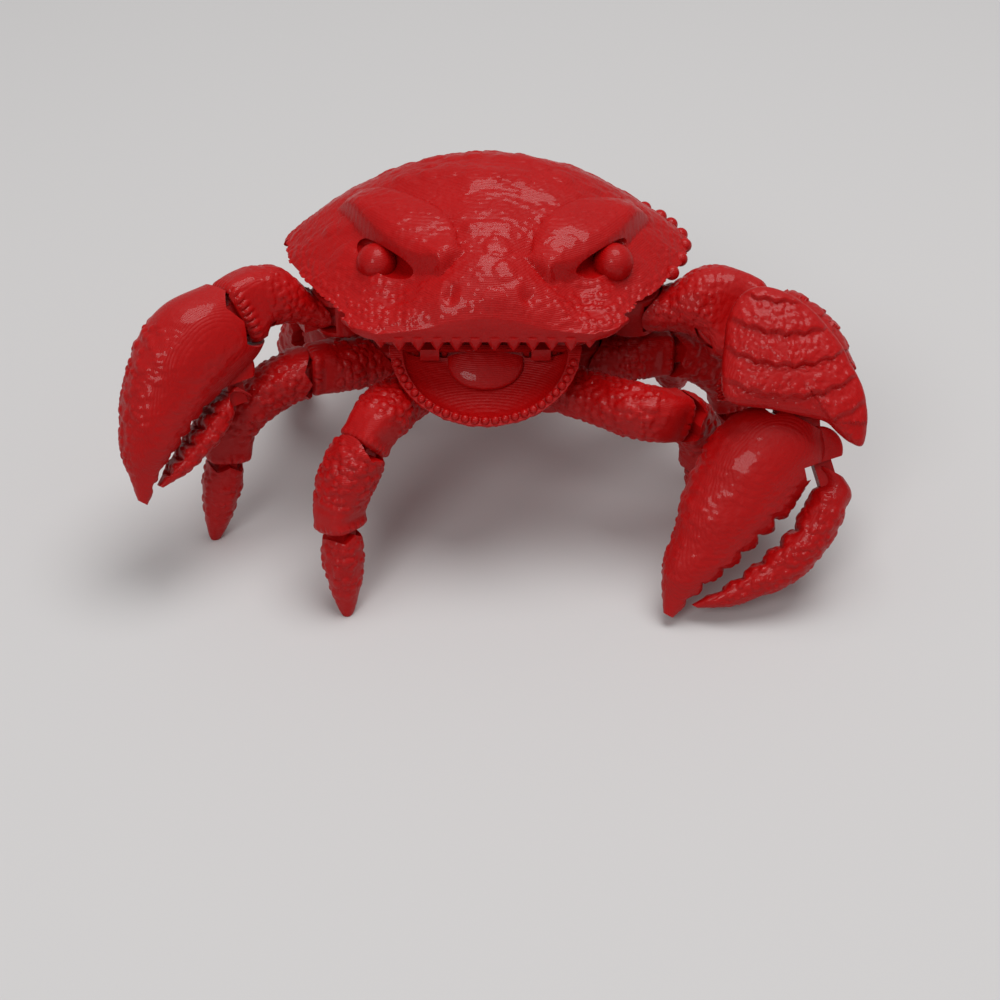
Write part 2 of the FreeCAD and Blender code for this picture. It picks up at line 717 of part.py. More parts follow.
def make_right_arm(bosses, hollows):
    """Upper piece, scaly forearm with its cuff, palm and finger of the right arm."""
    frame = claw_frame(right_wrist, right_claw_point, right_claw_turn)
    broad = frame[2]
    level = across(RIGHT, broad)
    rise = broad.cross(level)
    elbow_head = turned(level, broad, right_elbow_turn)
    mouth = turned(level, broad, right_wrist_turn)
    elbow_size = (elbow_radius, elbow_width)
    wrist_size = (right_wrist_radius, wrist_width)
    make_upper_arm(1, "right_arm", right_elbow, elbow_head, broad,
                   (right_arm_half_width, right_arm_half_height), elbow_size, bosses, hollows)
    middle = right_wrist - level * forearm_bend_place[0] - rise * forearm_bend_place[1]
    start = right_elbow - middle
    drift = start.dot(broad)
    turn = math.degrees(math.atan2(start.dot(rise), start.dot(level)))
    rings = []
    for share, reach, half_high, half_wide in forearm_shares:
        angle = math.radians(turn * share)
        out = level * math.cos(angle) + rise * math.sin(angle)
        centre = middle + out * (forearm_reach * reach) + broad * (drift * share)
        rings.append(ring(centre, broad, out, forearm_half_width * half_wide,
                          forearm_reach * half_high, 14, forearm_fullness))
    cuff = slab(right_wrist + broad * (forearm_half_width - cuff_thickness / 2), broad, mouth,
                [(forearm_reach * a, forearm_reach * b) for a, b in cuff_shares], cuff_thickness)
    forearm = lofted(rings).cut(socket(right_wrist, broad, mouth, *wrist_size)).fuse(cuff)
    parts["right_arm_forearm"] = rooted(forearm, right_elbow, broad, elbow_head, *elbow_size, elbow_swing)
    make_claw("right_claw", right_wrist, right_claw_point, frame, right_palm_shares, right_finger_shares,
              right_finger_hinge, right_wrist_radius, mouth)
    add_joint("right_elbow", "right_arm_upper", "right_arm_forearm", right_elbow, broad, elbow_swing)
    add_joint("right_wrist", "right_arm_forearm", "right_claw_palm", right_wrist, broad, wrist_swing)


def build():
    """Makes every piece and returns the move that puts the origin under the middle of them all."""
    bosses = []
    hollows = []
    parts["carapace"] = make_carapace()
    make_jaw(bosses, hollows)
    for name in leg_poses:
        make_leg(name, bosses, hollows)
    make_left_arm(bosses, hollows)
    make_right_arm(bosses, hollows)
    parts["underbody"] = make_underbody(bosses).cut(hollows)
    box = FreeCAD.BoundBox()
    for shape in parts.values():
        box.add(shape.BoundBox)
    return Vec(-box.Center.x, -box.Center.y, -box.ZMin)


def export(shift):
    """Writes one file for each piece."""
    os.makedirs("parts", exist_ok=True)
    for name, shape in parts.items():
        shape.translate(shift)
        if len(shape.Solids) != 1 or not shape.isValid():
            print(name, "solids", len(shape.Solids), "valid", shape.isValid())
        shape.exportStep("parts/%s.step" % name)


origin_shift = build()
export(origin_shift)
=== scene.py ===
"""Looks of the articulated crab figurine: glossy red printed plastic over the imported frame."""
import json
import math

import bpy
import numpy as np
from bpy.props import FloatProperty, FloatVectorProperty
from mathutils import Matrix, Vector


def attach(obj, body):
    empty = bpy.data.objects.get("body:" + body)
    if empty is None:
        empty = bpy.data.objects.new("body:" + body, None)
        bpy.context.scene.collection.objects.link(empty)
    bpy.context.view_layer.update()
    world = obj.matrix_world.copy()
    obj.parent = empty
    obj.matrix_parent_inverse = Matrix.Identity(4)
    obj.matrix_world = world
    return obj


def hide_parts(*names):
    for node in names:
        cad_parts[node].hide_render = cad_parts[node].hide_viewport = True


bl_info = {
    "name": "Printed Crab Figurine",
    "version": (1, 0, 0),
    "blender": (4, 5, 0),
    "location": "View3D > Sidebar > Crab",
    "description": "Builds a jointed crab figurine in printed red plastic",
    "category": "Add Mesh",
}

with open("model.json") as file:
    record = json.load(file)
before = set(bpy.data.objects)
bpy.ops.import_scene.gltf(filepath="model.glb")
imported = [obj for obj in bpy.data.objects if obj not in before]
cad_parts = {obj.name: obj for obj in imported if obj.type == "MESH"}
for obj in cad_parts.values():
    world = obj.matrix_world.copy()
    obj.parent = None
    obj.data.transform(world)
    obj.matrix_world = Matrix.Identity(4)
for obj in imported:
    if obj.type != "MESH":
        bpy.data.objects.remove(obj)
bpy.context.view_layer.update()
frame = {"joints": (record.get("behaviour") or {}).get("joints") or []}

MM = 0.001
UP = np.array([0.0, 0.0, 1.0])
RIGHT = np.array([1.0, 0.0, 0.0])
AHEAD = np.array([0.0, -1.0, 0.0])
VIEWER = np.array([0.0, -0.79, 0.61])

# Knuckles and cups, in millimetres
clearance = 0.3
cup_wall = 0.8
cheek_wall = 0.9
lip_angle = 58.0
neck_share = 0.58
crease_angle = 42.0
rod_corner = 0.25
rod_sides = 48

# Degrees that a piece swings in its cup, and more room under its nose
leg_swing = 22
arm_swing = 18
finger_swing = 20
nose_spare = 5.0

# Shares: where an axis counts as sideways, half turns of a globe, widths that a hollow spans
side_on = 0.7
pole_turn = 0.49
across_all = 8

# Skin: swell under the pebbles as shares of their height and size
swell_height = 0.35
swell_size = 3.2

# Skin of a piece: size and height of its pebbles, how full they stand, and seed
cheek_skin = (1.0, 0.24, 0.85, 5)
jaw_skin = (1.0, 0.16, 0.9, 23)
forearm_skin = (0.9, 0.12, 0.6, 9)
cap_skin = (0.9, 0.16, 0.8, 31)

# Shell's swells, warts and grain: height, then size, how full they stand and seed
shell_swell = (0.48, 9.5, 4)
shell_warts = (0.30, 3.4, 0.35, 12)
shell_grain = (0.10, 0.9, 0.5, 19)

# Limbs: bend, step and taper of the root, fullness, then rings, fullness and rounding of the lip
limb_bend = 0.35
root_step = 0.02
root_taper = 0.97
limb_fullness = 2.3
lip_rings = 10
lip_fullness = 3.8
lip_rounding = 0.35
bead_place = 1.12
bead_spread = 0.06
skin_fill = 0.9
skin_sink = 0.8
tip_skin = 0.9
finger_skin = 0.8

# Legs, front to back: hip place, then length, heading and pitch of the upper and the middle piece,
# heading and pitch of the tip, and pitch of the knee's mouth
leg_poses = {
    "left_leg_1": (-9.0, -11.2, (14.8, 62.5, 2.2), (11.8, 54.0, -54.0), (98.0, -72.0), -40.0),
    "left_leg_2": (-13.0, -4.2, (11.8, 24.0, 6.0), (17.2, 25.0, -32.0), (40.0, -76.0), 4.0),
    "left_leg_3": (-14.0, 5.2, (10.4, 0.0, -5.0), (13.4, -58.0, -50.0), (-82.0, -52.0), -20.0),
    "left_leg_4": (-9.4, 13.6, (10.6, -66.0, 4.0), (12.6, -72.0, -58.0), (-80.0, -74.0), -20.0),
    "right_leg_1": (9.0, -11.2, (18.1, 22.0, -2.0), (11.8, -36.0, -54.0), (-50.0, -80.0), -20.0),
    "right_leg_2": (13.0, -4.2, (11.8, -2.0, 4.0), (15.0, -12.0, -38.0), (-10.0, -80.0), 0.0),
    "right_leg_3": (14.0, 5.2, (10.4, 0.0, -5.0), (13.4, -58.0, -50.0), (-82.0, -52.0), -20.0),
    "right_leg_4": (9.4, 13.6, (10.6, -66.0, 4.0), (12.6, -72.0, -58.0), (-80.0, -74.0), -20.0),
}

# Middle pieces drawn in where the claw passes close by
leg_slims = {"right_leg_1": 0.9, "left_leg_2": 0.9}

# Limbs: place, half width, half height and lift, as shares
upper_stations = [(0.1, 0.85, 0.9, 0), (0.4, 0.91, 0.95, 0), (0.72, 1.0, 1.04, 0)]
middle_stations = [(0.06, 0.94, 0.9, 0), (0.4, 1.04, 1.04, 0), (0.74, 0.98, 0.98, 0)]
arm_stations = [(0.1, 0.8, 0.58, 0), (0.34, 0.84, 0.54, -0.03), (0.72, 1.0, 0.92, 0.12)]
tip_shares = [
    (0.06, 0.74), (0.14, 0.86), (0.36, 1.0), (0.62, 0.78), (0.85, 0.42), (0.97, 0.12), (1.0, 0.0),
]

# Shell along its length: place, half width, crest height, as shares
shell_shares = [
    (0.000, 0.50, 0.06), (0.023, 0.58, 0.17), (0.080, 0.66, 0.34), (0.175, 0.76, 0.53),
    (0.290, 0.87, 0.75), (0.430, 0.965, 0.93), (0.550, 1.00, 1.00), (0.663, 0.95, 0.92),
    (0.780, 0.82, 0.72), (0.895, 0.58, 0.46), (0.965, 0.36, 0.22), (1.000, 0.20, 0.06),
]
shell_width = 58.0
shell_length = 43.0
shell_shift = 1.0
shell_floor = 36.0
shell_rim = 1.3
shell_dome = 13.0

# Claws: place, outer edge, inner edge, half thickness, as shares
left_palm_shares = [
    (0.00, -0.44, 0.28, 0.70), (0.16, -0.70, 0.30, 0.96), (0.31, -0.79, 0.20, 1.00),
    (0.50, -0.75, 0.06, 0.90), (0.71, -0.59, 0.00, 0.68), (0.86, -0.40, -0.02, 0.42),
    (1.00, -0.09, 0.01, 0.10),
]
right_palm_shares = [
    (0.14, -0.12, 0.50, 0.80), (0.20, -0.28, 0.61, 0.94), (0.31, -0.40, 0.60, 1.00),
    (0.50, -0.43, 0.53, 0.88), (0.70, -0.34, 0.37, 0.66), (0.87, -0.24, 0.17, 0.40),
    (1.00, -0.05, 0.05, 0.10),
]
left_finger_shares = [
    (0.36, 0.16, 0.32, 0.80), (0.46, 0.12, 0.34, 0.98), (0.56, 0.10, 0.34, 1.00),
    (0.68, 0.06, 0.29, 0.86), (0.80, 0.035, 0.19, 0.56), (0.90, 0.02, 0.07, 0.20),
]
right_finger_shares = [
    (0.27, 0.64, 0.94, 0.80), (0.35, 0.66, 1.01, 0.98), (0.45, 0.66, 1.04, 1.00),
    (0.56, 0.60, 1.01, 0.92), (0.67, 0.50, 0.91, 0.78), (0.78, 0.37, 0.69, 0.60),
    (0.87, 0.24, 0.46, 0.40), (0.925, 0.15, 0.22, 0.15),
]
# Finger's root: distance in knuckles, then outer edge, inner edge and half thickness
finger_root = (1.2, -0.11, 0.22, 0.92)
# Saw edges: teeth along the claw, depth, start and stop
palm_saw = (12, 1.3, 0.46, 0.95)
finger_saw = (12, 1.0, 0.44, 0.88)
saw_sink = 1.12
saw_ease = 0.05
claw_fullness = 2.25
# Flat lips: half width and width across
palm_lip = (2.9, 12.0)
forearm_lip = (9.0, 14.0)
claw_width = 14.5
claw_thickness = 11.4
finger_thickness = 6.6

# Face: place beside and ahead, radius and size of its hollows, then of its swells
face_hollows = ((5.1, -18.2, 0.95, 1.2), (12.2, -15.0, 3.0, 1.3), (18.5, -12.0, 2.6, 0.6))
face_swells = ((5.1, -18.2, 1.9, 0.7), (9.0, -17.6, 2.2, 0.5), (3.0, -9.0, 2.8, 0.5))
face_shift = 1.3
hollow_shift = 0.4
snout_radius = 7.0
snout_spread = 1.35
snout_lift = 1.9
snout_rise = 1.1
snout_forward = 17.0
arch_cutter_height = 3.5
arch_radius = 11.8
tooth_count = 12
tooth_pitch = 2.55
tooth_depth = 1.5
tooth_half = (1.4, 1.5)
tooth_back = 1.3
tooth_root = 0.7
tooth_lean = 0.9
tooth_tip = 0.1
tooth_rings = 18
eye_radius = 2.7
eye_place = (16.2, -9.3, 41.6)
visor_outer = (22.0, 1.6)
visor_inner = (8.0, -14.8)
visor_bow = 2.2
visor_width = 8.6
visor_rise = 3.3
rim_knobs = (17.8, 15.3, 12.9, 10.5, 8.2, 5.2, 2.2, -1.6, -5.3)
knob_radius = 1.05
knob_sink = 0.7
knob_lift = 1.6
socket_place = (14.9, -9.9, 42.6)
socket_radii = (5.4, 2.5, 1.7)
belly_height = 20.2
waist_height = 26.6
waist_inset = 0.91
core_half_width = 19.3
jaw_half_width = 13.1
jaw_reach = 11.5
jaw_depth = 3.6
jaw_wall = 1.8
jaw_tilt = 38.0
jaw_hinge = np.array([0.0, -12.9, 31.6])
jaw_hinge_spread = 7.6
jaw_knuckle = 1.5
jaw_knuckle_width = 2.6
tongue_radius = 5.2
tongue_rise = 1.2
tongue_share = 0.14
tongue_rings = 30
rim_bead_count = 25
rim_bead_start = 0.24
rim_bead_radius = 0.6
rim_bead_inset = 0.75

hip_height = 22.9
leg_knuckle = 2.4
leg_knuckle_width = 3.2
ankle_knuckle = 2.3
ankle_knuckle_width = 3.0
leg_half_width = 3.9
leg_half_height = 3.7
tip_half_width = 2.75
tip_half_height = 2.75
tip_point = 0.45

shoulder_spread = 20.6
shoulder_forward = 5.0
shoulder_height = 32.0
shoulder_knuckle = 2.8
shoulder_knuckle_width = 3.6
elbow_knuckle = 5.2
elbow_width = 5.0
left_wrist_knuckle = 3.7
right_wrist_knuckle = 5.0
wrist_width = 4.8
left_arm_half = (4.0, 4.6)
right_arm_half = (4.6, 5.8)
forearm_half_width = 7.6
forearm_reach = 12.0
forearm_bend_place = (12.2, 3.7)
cap_inside = 6.15
cap_outside = 9.3
finger_knuckle = 2.1
finger_knuckle_width = 3.4

left_wrist = np.array([-33.0, -11.2, 35.8])
left_claw_point = np.array([-46.0, -30.6, 16.4])
left_claw_turn = -36.0
left_finger_hinge = (8.8, 1.5)
right_elbow = np.array([34.2, -7.4, 32.0])
right_elbow_turn = -26.0
right_wrist = np.array([42.4, -17.8, 28.9])
right_wrist_turn = -88.0
right_claw_point = np.array([25.2, -36.6, 1.7])
right_claw_turn = 0.0
right_finger_hinge = (7.6, 7.4)
camera_place = (2.0, -228.0, 171.4)

# Plastic: settings of its shader, then scales of its clouds and range of its gloss
plastic_shader = {
    "Subsurface Weight": 0.25, "Subsurface Radius": (1.0, 0.12, 0.08), "Subsurface Scale": 0.0012,
    "Specular IOR Level": 0.16, "Coat Weight": 0.18, "Coat Roughness": 0.08,
}
tone_scale = 160.0
gloss_scale = 900.0
gloss_range = 0.22
blister_scale = 1100.0

# Stage, in metres: half side of the floor, then name, place, width and share of power of the lamps
floor_half = 3.0
lamp_aim = (0, 0, 0.02)
lamps = (("lamp_above", (0.10, 0.02, 0.72), 0.50, 1.0), ("lamp_front", (-0.25, -0.60, 0.55), 0.30, 0.45))

# Lower body, as shares of its half width and of the shell's length, front to back
core_shares = [(0.42, -0.30), (0.90, -0.21), (1.0, -0.02), (0.93, 0.22), (0.55, 0.40)]

# Forearm: share of its turn, then centre, half height and half width as shares
forearm_shares = [
    (0.03, 0.95, 0.78, 1.00), (0.22, 0.95, 0.77, 1.00), (0.42, 0.97, 0.76, 1.00),
    (0.61, 0.97, 0.70, 0.86), (0.74, 0.98, 0.62, 0.72), (0.81, 0.96, 0.48, 0.62),
]
forearm_rings = 150
forearm_beads = 42
scale_rows = 7.0
scale_columns = 13.0
scale_height = 0.55
scale_sink = 0.2

# Scale rows of the cap: top row, pitch, bend, place of the crest and height
cap_top = 9.0
cap_pitch = 4.2
cap_bend = 0.035
cap_crest = 0.86
cap_scale_height = 0.75

# Scaly cap of the forearm, as level and rise from the wrist
cap_outline = [
    (-8.9, 9.6), (-10.0, 7.0), (-10.4, 3.8), (-10.7, 0.3), (-10.4, -2.8), (-9.0, -4.0), (-6.6, -4.4),
    (-3.7, -4.8), (-0.3, -5.5), (3.2, -6.4), (5.0, -8.0), (6.6, -9.2), (8.2, -9.4), (8.7, -5.6),
    (8.0, -1.7), (6.3, 1.6), (5.2, 3.8), (3.1, 6.5), (0.8, 8.9), (-2.2, 10.8), (-5.0, 11.6),
    (-7.2, 11.2),
]


jaw_pivot = next(j for j in frame["joints"] if j["name"] == "jaw_hinge")["pos_m"]
origin = np.array(jaw_pivot, float) / MM - jaw_hinge


def unit(vector):
    """Vectors at length one, along the last axis."""
    vector = np.asarray(vector, float)
    return vector / np.maximum(np.linalg.norm(vector, axis=-1, keepdims=True), 1e-12)


def across(vector, along):
    """The part of one vector square to another, at length one."""
    along = np.asarray(along, float)
    return unit(vector - along * np.sum(vector * along, axis=-1, keepdims=True))


def turned(vector, axis, degrees):
    """A vector turned about an axis: its parts along and across the axis, swung by the angle."""
    a = math.radians(degrees)
    return (vector * math.cos(a) + np.cross(axis, vector) * math.sin(a)
            + axis * np.dot(axis, vector) * (1 - math.cos(a)))


def eased(table, at):
    """Cubic curve through the rows of a table, read at places along it."""
    table = np.asarray(table, float)
    x, y = table[:, 0], table[:, 1:]
    slope = np.gradient(y, x, axis=0)
    k = np.clip(np.searchsorted(x, at) - 1, 0, len(x) - 2)
    h = (x[k + 1] - x[k])[:, None]
    t = np.clip((at - x[k]) / h[:, 0], 0, 1)[:, None]
    return ((2 * t ** 3 - 3 * t ** 2 + 1) * y[k] + (t ** 3 - 2 * t ** 2 + t) * h * slope[k]
            + (3 * t ** 2 - 2 * t ** 3) * y[k + 1] + (t ** 3 - t ** 2) * h * slope[k + 1])


def hashed(cells, seed):
    """Repeatable numbers from 0 to 1 for whole-number cells: their coordinates mixed bit by bit."""
    c = cells.astype(np.int64)
    n = (c[..., 0] * 73856093) ^ (c[..., 1] * 19349663) ^ (c[..., 2] * 83492791) ^ (seed * 40503)
    n &= 0x7FFFFFFF
    n = ((n ^ (n >> 13)) * 1274126177) & 0x7FFFFFFF
    n = ((n ^ (n >> 15)) * 668265263) & 0x7FFFFFFF
    return ((n ^ (n >> 16)) & 0xFFFFFF) / float(0xFFFFFF)


def pebbles(points, size, fill, seed):
    """Rounded grains: one minus the squared distance to the nearest scattered grain, over its radius."""
    home = np.floor(points / size)
    best = np.zeros(points.shape[:-1])
    for i in range(27):
        cell = home + np.array([i % 3 - 1, i // 3 % 3 - 1, i // 9 - 1])
        jitter = np.stack([hashed(cell, seed + k) for k in range(3)], axis=-1)
        centre = (cell + 0.2 + 0.6 * jitter) * size
        radius = size * (0.38 + 0.3 * hashed(cell, seed + 3))
        there = hashed(cell, seed + 4) < fill
        near = 1 - np.sum((points - centre) ** 2, axis=-1) / radius ** 2
        best = np.maximum(best, np.where(there, near, 0))
    return np.sqrt(best)


def lumps(points, size, seed):
    """Gentle swells: the mean of six waves in scattered directions."""
    rng = np.random.default_rng(seed)
    total = np.zeros(points.shape[:-1])
    for _ in range(6):
        k = unit(rng.normal(size=3)) * (2 * math.pi / size) * rng.uniform(0.6, 1.5)
        total += np.sin(points @ k + rng.uniform(0, 2 * math.pi))
    return total / 6


def shingles(along, around, rows, columns):
    """Overlapping scales: a ramp to each scale's curved free edge, alternate rows half a scale aside."""
    best = np.zeros(np.broadcast(along, around).shape)
    for back in (1, 0):
        row = np.floor(along * rows) - back
        side = around * columns + 0.5 * (row % 2)
        x = (side - np.floor(side)) * 2 - 1
        y = along * rows - row
        edge = 1.0 + 0.75 * np.sqrt(np.maximum(0, 1 - x * x))
        best = np.where(y < edge, np.maximum(best, y / 1.75), best)
    return best


def window(value, start, stop, opening, closing):
    """Share of a window: rises from its start over the opening, falls over the closing to its stop."""
    return np.clip((value - start) / opening, 0, 1) * np.clip((stop - value) / closing, 0, 1)


def ring_angles(count):
    """Angles of a ring's corners."""
    return 2 * math.pi * np.arange(count) / count


def tube(centres, wides, highs, half_wides, half_highs, fullness=2.0, count=64):
    """Grid of rings about centres: a superellipse of two half sizes carried along them."""
    turn = ring_angles(count)[None, :]
    c, s = np.cos(turn), np.sin(turn)
    power = np.broadcast_to(np.asarray(fullness, float), (len(centres),))[:, None]
    reach = (np.abs(c) ** power + np.abs(s) ** power) ** (-1 / power)
    return (centres[:, None] + wides[:, None] * (half_wides[:, None] * reach * c)[..., None]
            + highs[:, None] * (half_highs[:, None] * reach * s)[..., None])


def outward(grid):
    """Unit normals of a grid that closes across its columns: its two differences crossed."""
    around = np.roll(grid, -1, axis=1) - np.roll(grid, 1, axis=1)
    along = np.gradient(grid, axis=0)
    normal = unit(np.cross(around, along))
    middle = grid.mean(axis=1, keepdims=True)
    if np.sum(normal * (grid - middle)) < 0:
        normal = -normal
    return normal


def raised(grid, height, keep):
    """Grid moved out along its normals by a height, less near its first and last rings."""
    n = len(grid)
    fade = np.minimum(1, np.minimum(np.arange(n), np.arange(n)[::-1]) / keep)[:, None, None]
    return grid + outward(grid) * np.asarray(height)[..., None] * fade


def closed(grid):
    """Corners and faces of a tube grid with a point at each end, faces outwards."""
    rows, columns = grid.shape[:2]
    points = np.concatenate([grid.reshape(-1, 3), grid[0].mean(0)[None], grid[-1].mean(0)[None]])
    index = np.arange(rows * columns).reshape(rows, columns)
    a, b = index[:-1], index[1:]
    quads = np.stack([a, np.roll(a, -1, 1), np.roll(b, -1, 1), b], axis=-1).reshape(-1, 4)
    first, last = rows * columns, rows * columns + 1
    low = np.stack([index[0], np.full(columns, first), np.roll(index[0], -1)], axis=-1)
    high = np.stack([index[-1], np.roll(index[-1], -1), np.full(columns, last)], axis=-1)
    tris = np.concatenate([low, high])
    p = points
    volume = np.sum(p[quads[:, 0]] * np.cross(p[quads[:, 1]], p[quads[:, 2]]))
    volume += np.sum(p[quads[:, 0]] * np.cross(p[quads[:, 2]], p[quads[:, 3]]))
    volume += np.sum(p[tris[:, 0]] * np.cross(p[tris[:, 1]], p[tris[:, 2]]))
    if volume < 0:
        quads, tris = quads[:, ::-1], tris[:, ::-1]
    return points, quads, tris


def solid(name, grids):
    """Mesh object of closed grids, their millimetres turned into metres of the frame."""
    points, loops, sizes, offset = [], [], [], 0
    for grid in grids if isinstance(grids, list) else [grids]:
        corners, quads, tris = closed(grid)
        points.append(corners)
        loops += [quads.ravel() + offset, tris.ravel() + offset]
        sizes += [np.full(len(quads), 4), np.full(len(tris), 3)]
        offset += len(corners)
    points, loops, sizes = np.concatenate(points), np.concatenate(loops), np.concatenate(sizes)
    mesh = bpy.data.meshes.new(name)
    mesh.vertices.add(len(points))
    mesh.vertices.foreach_set("co", ((points + origin) * MM).astype(np.float32).ravel())
    mesh.loops.add(len(loops))
    mesh.loops.foreach_set("vertex_index", loops.astype(np.int32))
    mesh.polygons.add(len(sizes))
    mesh.polygons.foreach_set("loop_start", (np.cumsum(sizes) - sizes).astype(np.int32))
    mesh.update(calc_edges=True)
    piece = bpy.data.objects.new(name, mesh)
    bpy.context.scene.collection.objects.link(piece)
    return piece


def noise_relief(points, size, height, fill, seed):
    """Pebbled skin: grains of a size raised by a height, over a gentle swell."""
    swell = swell_height * height * lumps(points, size * swell_size, seed)
    return height * pebbles(points, size, fill, seed) + swell


def bezier(ends, heads, share):
    """Points and directions of the cubic that leaves and arrives along two headings."""
    a, d = ends
    chord = np.linalg.norm(d - a) * limb_bend
    b, c = a + heads[0] * chord, d - heads[1] * chord
    s = share[:, None]
    r = 1 - s
    point = a * r ** 3 + b * 3 * r * r * s + c * 3 * r * s * s + d * s ** 3
    slope = (b - a) * 3 * r * r + (c - b) * 6 * r * s + (d - c) * 3 * s * s
    return point, unit(slope)


def cup_reach(radius):
    """Outer radius of the cup that holds a knuckle."""
    return radius + clearance + cup_wall


def lip_reach(radius):
    """Distance of a cup's flat lip from its pivot."""
    return cup_reach(radius) * math.cos(math.radians(lip_angle))


def cup_width(width):
    """Outer width of the cup that holds a knuckle."""
    return width + 2 * clearance + 2 * cheek_wall


def spread(vector, count):
    """The same vector once for each ring."""
    return np.tile(np.asarray(vector, float), (count, 1))


def shoulder_at(side, height=shoulder_height):
    """Place of a shoulder's pivot, or of the point over it at another height."""
    return np.array([side * shoulder_spread, -shoulder_forward, height])


def level_way(start, end):
    """Level direction from one point towards another."""
    return unit((end - start) * np.array([1.0, 1.0, 0.0]))


def rod(centre, axis, radius, width, rounding=rod_corner, count=rod_sides):
    """Round bar: circles along its axis, drawn in at both ends on a quarter circle."""
    wide = across(RIGHT if abs(axis[0]) < side_on else UP, axis)
    turn = np.linspace(0, math.pi / 2, 5)
    inset = rounding * (1 - np.sin(turn))
    at = rounding * (1 - np.cos(turn)) - width / 2
    at, size = np.concatenate([at, -at[::-1]]), radius - np.concatenate([inset, inset[::-1]])
    rings = len(at)
    return tube(centre + axis * at[:, None], spread(wide, rings), spread(np.cross(axis, wide), rings),
                size, size, 2.0, count)


def prism(centre, axis, ahead, points, width):
    """Flat outline of (ahead, aside) points, carried along an axis."""
    aside = np.cross(axis, ahead)
    outline = centre + np.array([ahead * a + aside * b for a, b in points])
    return np.stack([outline - axis * width / 2, outline + axis * width / 2])


def egg(centre, ways, radii, rows, count):
    """Ellipsoid: circles whose place and size follow the sine and cosine of a turn."""
    tilt = np.linspace(-pole_turn, pole_turn, rows) * math.pi
    size = np.cos(tilt)
    return tube(centre + ways[0] * (radii[0] * np.sin(tilt))[:, None], spread(ways[1], rows),
                spread(ways[2], rows), size * radii[1], size * radii[2], 2.0, count)


def ball(centre, radius, rows, count):
    """Globe."""
    return egg(centre, (AHEAD, RIGHT, UP), (radius, radius, radius), rows, count)


def socket(pivot, axis, ahead, radius, width):
    """Cutters of a cup's hollow: the knuckle's bore and the mouth that its neck swings in."""
    room = width + 2 * clearance
    deep = cup_reach(radius) + 1.5
    side = deep * math.tan(math.radians(lip_angle))
    return [("DIFFERENCE", rod(pivot, axis, radius + clearance, room, 0.1)),
            ("DIFFERENCE", prism(pivot, axis, ahead, [(0, 0), (deep, side), (deep, -side)], room))]


def root(pivot, axis, ahead, radius, width, swing=None):
    """Steps at a piece's root: hollow it round its parent's cup, then add its knuckle and neck.

    Where the cup has a flat lip, the hollow is a circle with a nose left in it, bounded by the
    lip's line at both ends of the swing.
    """
    scoop = cup_reach(radius) + clearance
    hollow = rod(pivot, axis, scoop, across_all * width, 0.01, 72)
    if swing:
        lip, swept = lip_reach(radius) + clearance, math.radians(swing + nose_spare)
        side = math.acos(lip / scoop) - swept
        turn = np.linspace(side, 2 * math.pi - side, 64)
        nose = np.linspace(-side, side, 9)[1:-1]
        reach = lip / np.cos(np.abs(nose) + swept)
        outline = np.concatenate([scoop * np.column_stack([np.cos(turn), np.sin(turn)]),
                                  reach[:, None] * np.column_stack([np.cos(nose), np.sin(nose)])])
        hollow = prism(pivot, axis, ahead, outline, across_all * width)
    thick = radius * neck_share
    deep = scoop + clearance + thick
    neck = [(0, thick), (0, -thick), (deep, -thick), (deep, thick)]
    return [("DIFFERENCE", hollow), ("UNION", rod(pivot, axis, radius, width)),
            ("UNION", prism(pivot, axis, ahead, neck, width))]


def flat_lip(pivot, axis, ahead, radius, side, width):
    """Cutter that takes a cup off flat at its lip."""
    lip, far = lip_reach(radius), cup_reach(radius) + 0.4
    outline = [(lip, -side), (far, -side), (far, side), (lip, side)]
    return [("DIFFERENCE", prism(pivot, axis, ahead, outline, width))]


def cup(pivot, axis, radius, width):
    """Round outside of a cup on the lower body."""
    return ("UNION", rod(pivot, axis, cup_reach(radius), cup_width(width), 0.5))


def carved(name, base, steps, material, body=None):
    """One object: a closed grid with other closed grids cut from it or joined to it in turn.

    It replaces the node of its name and rides on the body, or else on the body of its own name.
    """
    piece = solid(name + "_skin", base)
    tools = []
    for kind, grid in steps:
        tool = solid(name + "_tool", grid)
        step = piece.modifiers.new("Carve", "BOOLEAN")
        step.operation, step.solver, step.object = kind, "MANIFOLD", tool
        tools.append(tool)
    shape = piece.evaluated_get(bpy.context.evaluated_depsgraph_get())
    mesh = bpy.data.meshes.new_from_object(shape)
    piece.modifiers.clear()
    rough, piece.data = piece.data, mesh
    for tool in tools:
        bpy.data.meshes.remove(tool.data)
    bpy.data.meshes.remove(rough)
    if len(mesh.polygons) < 8:
        raise RuntimeError(name + " came out empty")
    mesh.name = name + "_skin"
    mesh.polygons.foreach_set("use_smooth", np.ones(len(mesh.polygons), bool))
    mesh.set_sharp_from_angle(angle=math.radians(crease_angle))
    mesh.materials.clear()
    mesh.materials.append(material)
    nodes, body = [name], body or name
    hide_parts(*nodes)
    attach(piece, body)


def heading(side, degrees, pitch):
    """Direction from its turn towards the face and its rise above level."""
    turn, rise = math.radians(degrees), math.radians(pitch)
    flat = math.cos(rise)
    return np.array([side * math.cos(turn) * flat, -math.sin(turn) * flat, math.sin(rise)])


